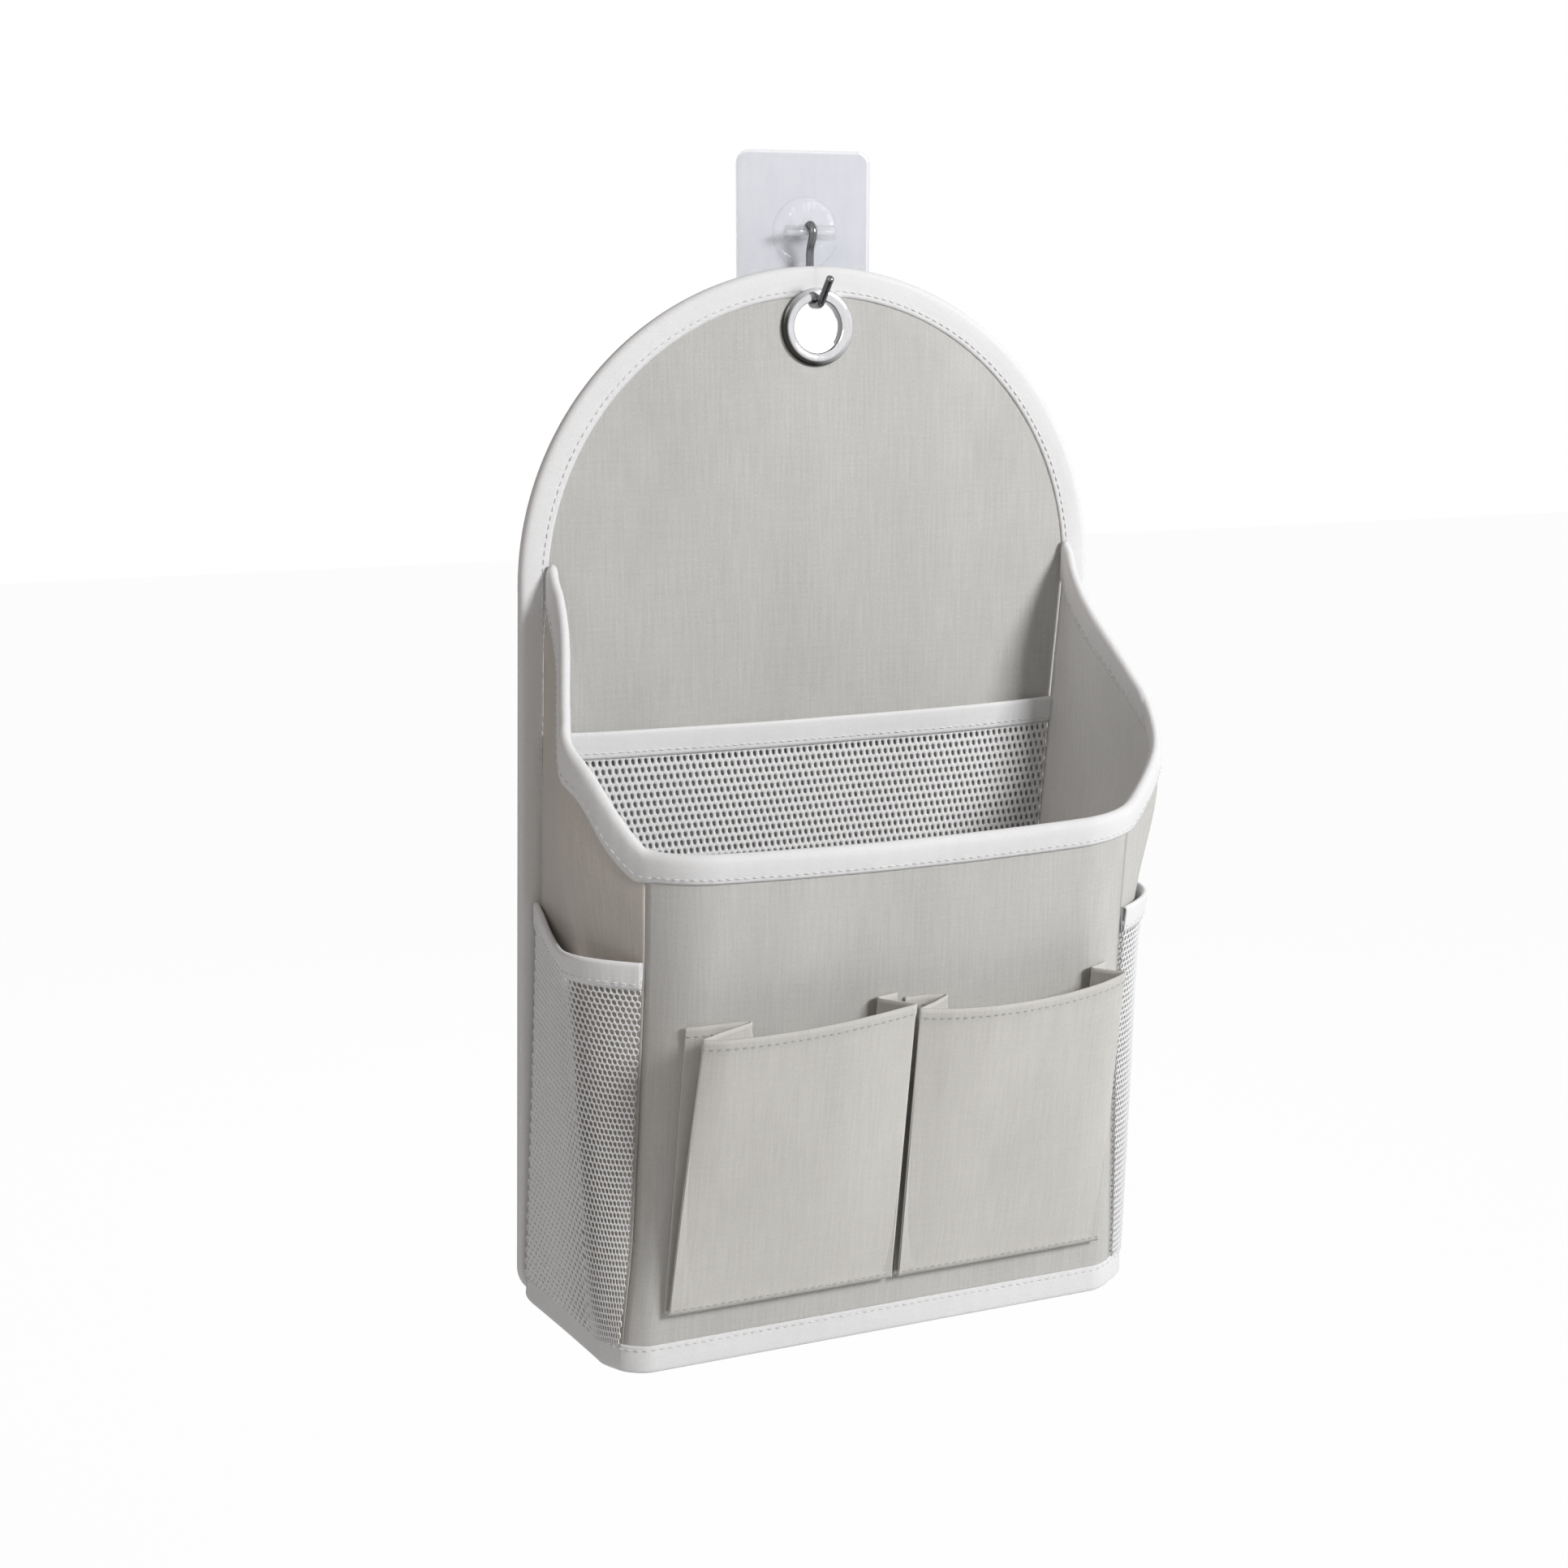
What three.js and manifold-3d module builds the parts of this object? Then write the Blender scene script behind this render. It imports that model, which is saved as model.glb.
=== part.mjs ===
// Hanging wall organizer: an arched fabric back carries a roomy main pocket, a net pocket inside it,
// a net pocket on each side and two bellows-pleated front pockets. Its eyelet hangs on a steel wire
// hook that turns on the axle of a clear adhesive pad.
// Millimetres, +Z up, front toward -Y. The origin is the centre of the pad's adhesive face on the wall.

import * as THREE from 'three';
import * as BufferGeometryUtils from 'three/addons/utils/BufferGeometryUtils.js';
import Module from 'manifold-3d';

const wasm = await Module();
wasm.setup();

// Adhesive pad, boss and axle
const PAD_SIZE = 55;
const PAD_CORNER_RADIUS = 5;
const PAD_THICKNESS = 1.2;
const FILM_THICKNESS = 0.6;
const FILM_MARGIN = 1;
const BOSS_DIAMETER = 27;
const BOSS_THICKNESS = 3.2;
const BOSS_BEVEL = 0.9;
const BOSS_DROP = 3;
const BARREL_LENGTH = 20;
const BARREL_WALL = 1.5;
const BARREL_SINK = 0.4;
const AXLE_DIAMETER = 2.4;
const AXLE_FIT = 0.15;

// Wire hook
const WIRE_DIAMETER = 3;
const EYE_CLEARANCE = 0.35;
const EYE_SLOT_CLEARANCE = 0.4;
const EYE_START_ANGLE = THREE.MathUtils.degToRad(285);
const EYE_END_ANGLE = THREE.MathUtils.degToRad(50);
const HOOK_DROP = 26.7;
const HOOK_BEND_RADIUS = 4;
const HOOK_REAR_CLEARANCE = 1.4;
const HOOK_FRONT_CLEARANCE = 0.6;
const HOOK_TIP_ANGLE = THREE.MathUtils.degToRad(45);
const HOOK_TIP_LENGTH = 13;
const SEAT_GAP = 0.3;

// Layers and tapes
const LAYER_GAP = 0.15;
const BACK_FABRIC = 0.6;
const BACK_BOARD = 1.2;
const BACK_BOARD_INSET = 1.5;
const TAPE_THICKNESS = 0.6;
const TAPE_WIDTH = 10.5;
const TAPE_GAP = 0.25;
const SEAM_GAP = 0.3;

// Back panel: heights run down from the top of the arch, depths forward from the panel's face
const PANEL_HEIGHT = 397.5;
const ARCH_RADIUS = 118.8;
const PANEL_SPLAY = 7.7;
const PANEL_FOOT_CORNER = 20;
const EYELET_BORE = 20;
const EYELET_BARREL_WALL = 0.7;
const EYELET_RIM_WIDTH = 4;
const EYELET_RIM_THICKNESS = 0.8;
const EYELET_DROP = 22;

// Body: side walls, front and base
const WALL_FABRIC = 1;
const BODY_BACK_GAP = 0.65;
const RIM_BACK_DROP = 108;
const RIM_FRONT_DROP = 199.5;
const RIM_DEPTH = 84;
const BASE_DEPTH = 74;
const SIDE_INSET = 14.5;
const SIDE_CORNER_WIDTH = 14;
const SIDE_DEPTH = 50;
const SIDE_PUFF = 7;
const SIDE_PUFF_DROP = 195;
const SIDE_PUFF_REACH = 40;
const SEAM_FLARE = 6;
const FRONT_BOARD = 1.4;
const FRONT_LINING = 0.6;
const FRONT_BOARD_MARGIN = 1.5;
const BASE_FABRIC = 1;
const BASE_BOARD = 2;
const BASE_TAPE_FOLD = 6;

// Net pockets
const NET_THICKNESS = 0.8;
const NET_BAR_SHARE = 0.34;
const INNER_NET_DROP = 171;
const INNER_NET_STANDOFF = 5.6;
const INNER_NET_COLUMNS = 15;
const INNER_NET_ROWS = 8;
const SIDE_NET_DROP = 238.5;
const SIDE_NET_GAP = 1.7;
const SIDE_NET_BULGE = 8.5;
const SIDE_NET_COLUMNS = 6;
const SIDE_NET_ROWS = 9;

// Bellows-pleated front pockets
const POCKET_FABRIC = 0.8;
const POCKET_DROP = 264.5;
const POCKET_FOOT_RISE = 21;
const POCKET_SEAM_INSET = 10;
const POCKET_CENTRE_GAP = 2.4;
const POCKET_STANDOFF = 13;
const POCKET_PLEAT = 18;
const POCKET_OUTER_INSET = 4;
const POCKET_CROWN = 1.5;

// Counts of facets
const SIDE_LINE_STEPS = 3;
const SIDE_CORNER_STEPS = 6;
const WALL_ROWS = 9;
const POCKET_ROWS = 4;
const ARCH_STEPS = 36;
const CORNER_STEPS = 5;
const ROUND_STEPS = 32;
const HOLE_STEPS = 24;
const BARREL_STEPS = 24;
const AXLE_STEPS = 16;
const PAD_CORNER_STEPS = 6;
const WIRE_SIDES = 8;
const WIRE_STEPS = 60;
const EYE_STEPS = 12;
const SHANK_STEPS = 4;
const BEND_STEPS = 6;
const TIP_BEND_STEPS = 4;
const TIP_STEPS = 3;

// Vertices nearer than this are one, and this share of a wall's run gives its direction
const MERGE_DISTANCE = 1e-4;
const PROBE_SHARE = 0.02;
// The rim's tape turns from sloping to level in the last part of the wall's run
const RIM_LEVEL_SHARE = 0.75;

const lerp = THREE.MathUtils.lerp;
const smoothstep = THREE.MathUtils.smoothstep;

// Depth positions in the pad's frame, from the wall outward
const filmFrontY = -FILM_THICKNESS;
const padBackY = filmFrontY - LAYER_GAP;
const padFrontY = padBackY - PAD_THICKNESS;
const bossBackY = padFrontY - LAYER_GAP;
const bossFrontY = bossBackY - BOSS_THICKNESS;
const axleRadius = AXLE_DIAMETER / 2;
const barrelRadius = axleRadius + AXLE_FIT + BARREL_WALL;
const axleY = bossFrontY - barrelRadius + BARREL_SINK;
const axleZ = -BOSS_DROP;
const wireRadius = WIRE_DIAMETER / 2;
const eyeRadius = axleRadius + EYE_CLEARANCE + wireRadius;

// Layers of the back panel in its own frame, whose y = 0 is the face of the front fabric
const boardFrontY = BACK_FABRIC + LAYER_GAP;
const boardRearY = boardFrontY + BACK_BOARD;
const rearFabricFrontY = boardRearY + LAYER_GAP;
const rearFabricRearY = rearFabricFrontY + BACK_FABRIC;
const tapeFrontY = -TAPE_GAP - TAPE_THICKNESS;
const tapeRearY = rearFabricRearY + TAPE_GAP + TAPE_THICKNESS;
const eyeletSeatY = tapeFrontY - LAYER_GAP;
const eyeletFrontY = eyeletSeatY - EYELET_RIM_THICKNESS;
const washerFrontY = tapeRearY + LAYER_GAP;
const washerRearY = washerFrontY + EYELET_RIM_THICKNESS;
const eyeletRadius = EYELET_BORE / 2;
const eyeletBarrelRadius = eyeletRadius + EYELET_BARREL_WALL;
const eyeletRimRadius = eyeletBarrelRadius + EYELET_RIM_WIDTH;
const eyeletHoleRadius = eyeletBarrelRadius + SEAM_GAP;

// The organizer hangs with the top of its eyelet's bore on the bend of the wire
const bendZ = axleZ - HOOK_DROP;
const organizerY = axleY - wireRadius - HOOK_REAR_CLEARANCE - washerRearY;
const organizerZ = bendZ + wireRadius + SEAT_GAP - eyeletRadius + EYELET_DROP;

// Half widths: the body narrows from the panel's foot to its sides, its front and its pockets' seams
const panelFootHalfWidth = ARCH_RADIUS + PANEL_SPLAY;
const sideHalfWidth = panelFootHalfWidth - SIDE_INSET;
const frontHalfWidth = sideHalfWidth - SIDE_CORNER_WIDTH;
const pocketSeamX = frontHalfWidth - POCKET_SEAM_INSET;

// Body heights in the organizer's frame
const bodyBackY = tapeFrontY - BODY_BACK_GAP;
const rimBackZ = -RIM_BACK_DROP;
const rimFrontZ = -RIM_FRONT_DROP;
const baseZ = -PANEL_HEIGHT;
const baseBoardZ = baseZ + BASE_FABRIC + LAYER_GAP;
const floorZ = baseBoardZ + BASE_BOARD + SEAM_GAP;

function material(color, roughness, metalness = 0, opacity = 1) {
  const transparent = opacity < 1;
  return new THREE.MeshStandardMaterial({ color, roughness, metalness, opacity, transparent });
}

const clearPlastic = () => material('#dcdde2', 0.18, 0, 0.55);
const steel = () => material('#b9babd', 0.22, 1);
const linen = () => material('#bcbcb6', 0.9);
const lining = () => material('#b4b4ae', 0.92);
const board = () => material('#d8d4c8', 0.85);
const tape = () => material('#ececea', 0.85);
const net = () => material('#c3c3c2', 0.8);

function addPiece(group, name, geometry, pieceMaterial) {
  const mesh = new THREE.Mesh(geometry, pieceMaterial);
  mesh.name = name;
  group.add(mesh);
}

function signedVolume(positions, triangles) {
  const corner = new THREE.Vector3();
  const second = new THREE.Vector3();
  const third = new THREE.Vector3();
  let volume = 0;
  for (const [i, j, k] of triangles) {
    corner.fromArray(positions, 3 * i);
    second.fromArray(positions, 3 * j);
    third.fromArray(positions, 3 * k);
    volume += corner.dot(second.cross(third)) / 6;
  }
  return volume;
}

// Closed geometry from points and quads, each cut along its shorter diagonal, with its faces outward
function solidFromQuads(points, quads) {
  const positions = points.flatMap((point) => point.toArray());
  const triangles = quads.flatMap(([a, b, c, d]) => {
    const alongAC = points[a].distanceTo(points[c]) <= points[b].distanceTo(points[d]);
    return alongAC ? [[a, b, c], [a, c, d]] : [[b, c, d], [b, d, a]];
  });
  const outward = signedVolume(positions, triangles) > 0;
  const index = triangles.flatMap(([a, b, c]) => (outward ? [a, b, c] : [a, c, b]));
  const geometry = new THREE.BufferGeometry();
  geometry.setAttribute('position', new THREE.Float32BufferAttribute(positions, 3));
  geometry.setIndex(index);
  geometry.computeVertexNormals();
  return geometry;
}

// Lofts a band with an outer and an inner chain of points through its stations
function loftBand(stations, closed = false) {
  const length = stations[0].outer.length;
  const points = stations.flatMap(({ outer, inner }) => [...outer, ...inner]);
  const outerAt = (station, i) => (station % stations.length) * 2 * length + i;
  const innerAt = (station, i) => outerAt(station, i) + length;
  const quads = [];
  const spans = closed ? stations.length : stations.length - 1;
  for (let s = 0; s < spans; s += 1) {
    for (let i = 0; i < length - 1; i += 1) {
      quads.push([outerAt(s, i), outerAt(s + 1, i), outerAt(s + 1, i + 1), outerAt(s, i + 1)]);
      quads.push([innerAt(s, i), innerAt(s, i + 1), innerAt(s + 1, i + 1), innerAt(s + 1, i)]);
    }
    for (const [i, flip] of [[0, true], [length - 1, false]]) {
      const edge = [outerAt(s, i), outerAt(s + 1, i), innerAt(s + 1, i), innerAt(s, i)];
      quads.push(flip ? edge.reverse() : edge);
    }
  }
  if (!closed) {
    const last = stations.length - 1;
    for (let i = 0; i < length - 1; i += 1) {
      quads.push([outerAt(0, i), outerAt(0, i + 1), innerAt(0, i + 1), innerAt(0, i)]);
      quads.push([outerAt(last, i), innerAt(last, i), innerAt(last, i + 1), outerAt(last, i + 1)]);
    }
  }
  return solidFromQuads(points, quads);
}

// Edges of a net's bars along one direction, from 0 to 1
function netTicks(count) {
  const half = NET_BAR_SHARE / 2;
  const cells = Array.from({ length: count }, (_, cell) => [cell + half, cell + 1 - half]);
  return [0, ...cells.flat().map((edge) => edge / count), 1];
}

// A net of crossing bars with an open gap in each cell; place(u, v, face) gives a point of either face
function netSheet(place, columns, rows) {
  const us = netTicks(columns);
  const vs = netTicks(rows);
  const points = [0, 1].flatMap((face) => us.flatMap((u) => vs.map((v) => place(u, v, face))));
  const at = (face, i, j) => (face * us.length + i) * vs.length + j;
  const isBar = (i, j) => {
    const inside = i >= 0 && j >= 0 && i < us.length - 1 && j < vs.length - 1;
    return inside && !(i % 2 === 1 && j % 2 === 1);
  };
  const quads = [];
  const wall = (i, j, k, l) => quads.push([at(0, i, j), at(1, i, j), at(1, k, l), at(0, k, l)]);
  for (let i = 0; i < us.length - 1; i += 1) {
    for (let j = 0; j < vs.length - 1; j += 1) {
      if (!isBar(i, j)) continue;
      quads.push([at(0, i, j), at(0, i, j + 1), at(0, i + 1, j + 1), at(0, i + 1, j)]);
      quads.push([at(1, i, j), at(1, i + 1, j), at(1, i + 1, j + 1), at(1, i, j + 1)]);
      if (!isBar(i - 1, j)) wall(i, j, i, j + 1);
      if (!isBar(i, j + 1)) wall(i, j + 1, i + 1, j + 1);
      if (!isBar(i + 1, j)) wall(i + 1, j + 1, i + 1, j);
      if (!isBar(i, j - 1)) wall(i + 1, j, i, j);
    }
  }
  return solidFromQuads(points, quads);
}

// Flat plate cut from an outline in the XZ plane, from frontY back to rearY
function plateXZ(outline, frontY, rearY, holes = []) {
  const shape = new THREE.Shape(outline);
  shape.holes.push(...holes);
  const options = { depth: rearY - frontY, bevelEnabled: false, curveSegments: HOLE_STEPS };
  const geometry = new THREE.ExtrudeGeometry(shape, options);
  geometry.rotateX(Math.PI / 2);
  geometry.translate(0, rearY, 0);
  return geometry;
}

function toManifold(geometry) {
  const bare = geometry.clone();
  bare.deleteAttribute('normal');
  bare.deleteAttribute('uv');
  const merged = BufferGeometryUtils.mergeVertices(bare, MERGE_DISTANCE);
  const vertProperties = new Float32Array(merged.attributes.position.array);
  const triVerts = new Uint32Array(merged.index.array);
  return new wasm.Manifold(new wasm.Mesh({ numProp: 3, vertProperties, triVerts }));
}

function fromManifold(solid) {
  const mesh = solid.getMesh();
  const geometry = new THREE.BufferGeometry();
  geometry.setAttribute('position', new THREE.BufferAttribute(new Float32Array(mesh.vertProperties), 3));
  geometry.setIndex(new THREE.BufferAttribute(new Uint32Array(mesh.triVerts), 1));
  geometry.computeVertexNormals();
  return geometry;
}

function cylinderAlongX(radius, length, y, z, sides) {
  const geometry = new THREE.CylinderGeometry(radius, radius, length, sides);
  geometry.rotateZ(Math.PI / 2);
  geometry.translate(0, y, z);
  return geometry;
}

// Adhesive pad
function roundedSquare(size, radius) {
  const half = size / 2;
  const inner = half - radius;
  const shape = new THREE.Shape();
  shape.absarc(inner, inner, radius, 0, Math.PI / 2);
  shape.absarc(-inner, inner, radius, Math.PI / 2, Math.PI);
  shape.absarc(-inner, -inner, radius, Math.PI, 1.5 * Math.PI);
  shape.absarc(inner, -inner, radius, 1.5 * Math.PI, 2 * Math.PI);
  return shape.getPoints(PAD_CORNER_STEPS);
}

function adhesiveFilm() {
  const outline = roundedSquare(PAD_SIZE - 2 * FILM_MARGIN, PAD_CORNER_RADIUS - FILM_MARGIN);
  return plateXZ(outline, filmFrontY, 0);
}

function hookPad() {
  return plateXZ(roundedSquare(PAD_SIZE, PAD_CORNER_RADIUS), padFrontY, padBackY);
}

// Round boss with a cross barrel, bored for the axle and slotted for the wire's eye
function hookBoss() {
  const radius = BOSS_DIAMETER / 2;
  const profile = [
    new THREE.Vector2(0, bossFrontY),
    new THREE.Vector2(radius - BOSS_BEVEL, bossFrontY),
    new THREE.Vector2(radius, bossFrontY + BOSS_BEVEL),
    new THREE.Vector2(radius, bossBackY),
    new THREE.Vector2(0, bossBackY),
  ];
  const disc = new THREE.LatheGeometry(profile, ROUND_STEPS);
  disc.translate(0, 0, axleZ);
  const slotWidth = WIRE_DIAMETER + 2 * EYE_SLOT_CLEARANCE;
  const slotRadius = eyeRadius + wireRadius + EYE_SLOT_CLEARANCE;
  const barrel = cylinderAlongX(barrelRadius, BARREL_LENGTH, axleY, axleZ, BARREL_STEPS);
  const bore = cylinderAlongX(axleRadius + AXLE_FIT, 2 * BARREL_LENGTH, axleY, axleZ, AXLE_STEPS);
  const slot = cylinderAlongX(slotRadius, slotWidth, axleY, axleZ, BARREL_STEPS);
  const body = toManifold(disc).add(toManifold(barrel));
  return fromManifold(body.subtract(toManifold(bore)).subtract(toManifold(slot)));
}

function hookAxlePin() {
  return cylinderAlongX(axleRadius, BARREL_LENGTH, axleY, axleZ, AXLE_STEPS);
}

// Wire hook: an open eye round the axle, a straight shank, a flat-bottomed bend and a leaning tip
function hookPath() {
  const points = [];
  const add = (y, z) => points.push(new THREE.Vector3(0, axleY + y, axleZ + z));
  const addArc = (centreY, centreZ, radius, from, to, steps) => {
    for (let i = 0; i <= steps; i += 1) {
      const angle = lerp(from, to, i / steps);
      add(centreY - radius * Math.sin(angle), centreZ - radius * Math.cos(angle));
    }
  };
  addArc(0, 0, eyeRadius, EYE_START_ANGLE, EYE_END_ANGLE, EYE_STEPS);
  const shankTop = -eyeRadius - WIRE_DIAMETER;
  const bendCentreZ = HOOK_BEND_RADIUS - HOOK_DROP;
  for (let i = 0; i < SHANK_STEPS; i += 1) add(0, lerp(shankTop, bendCentreZ, i / SHANK_STEPS));
  addArc(-HOOK_BEND_RADIUS, bendCentreZ, HOOK_BEND_RADIUS, -Math.PI / 2, 0, BEND_STEPS);
  const seatHeight = wireRadius + SEAT_GAP;
  const lean = HOOK_TIP_ANGLE;
  const arcDepth = HOOK_BEND_RADIUS * Math.sin(lean);
  const arcRise = HOOK_BEND_RADIUS * (1 - Math.cos(lean));
  const leanDepth = (seatHeight - arcRise) * Math.tan(lean) - wireRadius / Math.cos(lean);
  const eyeletFaceY = organizerY + eyeletFrontY - axleY;
  const secondBendY = eyeletFaceY - HOOK_FRONT_CLEARANCE + arcDepth + leanDepth;
  addArc(secondBendY, bendCentreZ, HOOK_BEND_RADIUS, 0, lean, TIP_BEND_STEPS);
  const tipStartY = secondBendY - arcDepth;
  const tipStartZ = arcRise - HOOK_DROP;
  for (let i = 1; i <= TIP_STEPS; i += 1) {
    const run = (HOOK_TIP_LENGTH * i) / TIP_STEPS;
    add(tipStartY - run * Math.cos(lean), tipStartZ + run * Math.sin(lean));
  }
  return new THREE.CatmullRomCurve3(points, false, 'centripetal');
}

function wireHook() {
  const section = new THREE.Shape();
  section.absarc(0, 0, wireRadius, 0, 2 * Math.PI);
  const sides = new THREE.Shape(section.getSpacedPoints(WIRE_SIDES).slice(0, WIRE_SIDES));
  return new THREE.ExtrudeGeometry(sides, { steps: WIRE_STEPS, extrudePath: hookPath() });
}

// Back panel
function panelHalfWidth(z) {
  const springZ = -ARCH_RADIUS;
  if (z > springZ) return Math.sqrt(ARCH_RADIUS ** 2 - (z - springZ) ** 2);
  return lerp(ARCH_RADIUS, panelFootHalfWidth, (springZ - z) / (PANEL_HEIGHT - ARCH_RADIUS));
}

// Arched outline moved inward by an inset: round head, splayed sides, rounded foot corners
function panelOutline(inset) {
  const points = [];
  const addArc = (x, z, radius, from, to, steps) => {
    for (let i = 0; i <= steps; i += 1) {
      const angle = lerp(from, to, i / steps);
      points.push(new THREE.Vector2(x + radius * Math.cos(angle), z + radius * Math.sin(angle)));
    }
  };
  const cornerX = panelFootHalfWidth - PANEL_FOOT_CORNER;
  const cornerZ = PANEL_FOOT_CORNER - PANEL_HEIGHT;
  const cornerRadius = PANEL_FOOT_CORNER - inset;
  addArc(0, -ARCH_RADIUS, ARCH_RADIUS - inset, 0, Math.PI, ARCH_STEPS);
  addArc(-cornerX, cornerZ, cornerRadius, Math.PI, 1.5 * Math.PI, CORNER_STEPS);
  addArc(cornerX, cornerZ, cornerRadius, 1.5 * Math.PI, 2 * Math.PI, CORNER_STEPS);
  return points;
}

function eyeletHole() {
  const hole = new THREE.Path();
  hole.absarc(0, -EYELET_DROP, eyeletHoleRadius, 0, 2 * Math.PI, true);
  return hole;
}

function backLayer(inset, frontY, rearY) {
  return plateXZ(panelOutline(inset), frontY, rearY, [eyeletHole()]);
}

// Folded tape round the whole edge of the back panel
function backBinding() {
  const hem = panelOutline(TAPE_WIDTH);
  const insideEdge = panelOutline(-TAPE_GAP);
  const outsideEdge = panelOutline(-TAPE_GAP - TAPE_THICKNESS);
  const fold = (k, edge, frontY, rearY) => {
    const at = (point, y) => new THREE.Vector3(point.x, y, point.y);
    return [at(hem[k], frontY), at(edge[k], frontY), at(edge[k], rearY), at(hem[k], rearY)];
  };
  const stations = hem.map((_, k) => ({
    outer: fold(k, outsideEdge, tapeFrontY, tapeRearY),
    inner: fold(k, insideEdge, -TAPE_GAP, rearFabricRearY + TAPE_GAP),
  }));
  return loftBand(stations, true);
}

// Eyelet with a rolled front rim, and the washer behind the panel
function eyelet() {
  const roll = EYELET_RIM_THICKNESS / 2;
  const profile = [
    new THREE.Vector2(eyeletBarrelRadius, eyeletSeatY),
    new THREE.Vector2(eyeletRimRadius - roll, eyeletSeatY),
    new THREE.Vector2(eyeletRimRadius, eyeletSeatY - roll),
    new THREE.Vector2(eyeletRimRadius - roll, eyeletFrontY),
    new THREE.Vector2(eyeletRadius + roll, eyeletFrontY),
    new THREE.Vector2(eyeletRadius, eyeletFrontY + roll),
    new THREE.Vector2(eyeletRadius, washerRearY),
    new THREE.Vector2(eyeletBarrelRadius, washerRearY),
    new THREE.Vector2(eyeletBarrelRadius, eyeletSeatY),
  ];
  const geometry = new THREE.LatheGeometry(profile.reverse(), ROUND_STEPS);
  geometry.translate(0, 0, -EYELET_DROP);
  return geometry;
}

function eyeletWasher() {
  const inner = eyeletBarrelRadius + LAYER_GAP;
  const profile = [
    new THREE.Vector2(inner, washerFrontY),
    new THREE.Vector2(inner, washerRearY),
    new THREE.Vector2(eyeletRimRadius, washerRearY),
    new THREE.Vector2(eyeletRimRadius, washerFrontY),
    new THREE.Vector2(inner, washerFrontY),
  ];
  const geometry = new THREE.LatheGeometry(profile.reverse(), ROUND_STEPS);
  geometry.translate(0, 0, -EYELET_DROP);
  return geometry;
}

// Outer surface of a side wall: u runs from the back seam (0) round the corner to the front seam (1)
const sideShare = SIDE_DEPTH / (RIM_DEPTH + SIDE_CORNER_WIDTH / 2);

function depthAt(z) {
  return lerp(RIM_DEPTH, BASE_DEPTH, (rimFrontZ - z) / (rimFrontZ - baseZ));
}

// The back seam follows the inner edge of the panel's tape and flares over it toward the foot
function seamHalfWidth(z) {
  const down = Math.max((rimBackZ - z) / (rimBackZ - baseZ), 0);
  return panelHalfWidth(z) - TAPE_WIDTH - SEAM_GAP + SEAM_FLARE * down ** 2;
}

function sidePoint(u, z) {
  const puff = SIDE_PUFF * Math.exp(-(((z + SIDE_PUFF_DROP) / SIDE_PUFF_REACH) ** 2));
  const sideX = sideHalfWidth + puff;
  if (u <= sideShare) {
    const share = u / sideShare;
    return new THREE.Vector3(lerp(seamHalfWidth(z), sideX, share), lerp(bodyBackY, -SIDE_DEPTH, share), z);
  }
  const angle = ((u - sideShare) / (1 - sideShare)) * (Math.PI / 2);
  const x = frontHalfWidth + (sideX - frontHalfWidth) * Math.cos(angle);
  const y = -SIDE_DEPTH - (depthAt(z) - SIDE_DEPTH) * Math.sin(angle);
  return new THREE.Vector3(x, y, z);
}

// Point at a distance outward from the wall's outer surface
function sideOffset(u, z, distance) {
  const next = sidePoint(Math.min(u + PROBE_SHARE, 1), z);
  const ahead = next.sub(sidePoint(Math.max(u - PROBE_SHARE, 0), z));
  const above = sidePoint(u, z + 1).sub(sidePoint(u, z - 1));
  const outward = above.cross(ahead).normalize();
  return sidePoint(u, z).addScaledVector(outward, distance);
}

const sideStations = [
  ...Array.from({ length: SIDE_LINE_STEPS }, (_, i) => (sideShare * i) / SIDE_LINE_STEPS),
  ...Array.from({ length: SIDE_CORNER_STEPS + 1 }, (_, i) => lerp(sideShare, 1, i / SIDE_CORNER_STEPS)),
];

function rimHeight(u) {
  return lerp(rimBackZ, rimFrontZ, u);
}

// The rim's slope lengthens what is measured straight down from it, until the level front edge
const rimRun = sideStations.slice(1).reduce((run, u, i) => {
  return run + sidePoint(u, rimFrontZ).distanceTo(sidePoint(sideStations[i], rimFrontZ));
}, 0);
const rimSecant = Math.hypot(1, (rimBackZ - rimFrontZ) / rimRun);
const seamEnd = 1 - SEAM_GAP / rimRun;

function rimStretch(u) {
  return lerp(rimSecant, 1, smoothstep(u, RIM_LEVEL_SHARE, 1));
}

const mirror = (point, side) => new THREE.Vector3(side * point.x, point.y, point.z);

// Rows of the wall follow the lower edge of the rim's tape and the upper edge of the foot's tape
function wallHeights(u) {
  const underRim = rimHeight(u) - TAPE_WIDTH * rimStretch(u);
  const aboveFoot = baseZ + TAPE_WIDTH;
  const rows = Array.from({ length: WALL_ROWS + 1 }, (_, i) => i / WALL_ROWS);
  return [rimHeight(u), ...rows.map((share) => lerp(underRim, aboveFoot, share)), baseZ];
}

function sideWall(side) {
  const stations = sideStations.map((station) => {
    const u = Math.min(station, seamEnd);
    const chain = (distance) => wallHeights(station).map((z) => mirror(sideOffset(u, z, distance), side));
    return { outer: chain(0), inner: chain(-WALL_FABRIC) };
  });
  return loftBand(stations);
}

// Leaning flat layer of the front, its faces measured back from the outer face
function frontLayer(halfWidth, topZ, bottomZ, fromFace, thickness) {
  const stations = [-halfWidth, halfWidth].map((x) => {
    const chain = (back) => [topZ, bottomZ].map((z) => new THREE.Vector3(x, back - depthAt(z), z));
    return { outer: chain(fromFace), inner: chain(fromFace + thickness) };
  });
  return loftBand(stations);
}

function frontPanel() {
  return frontLayer(frontHalfWidth, rimFrontZ, baseZ, 0, WALL_FABRIC);
}

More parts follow.
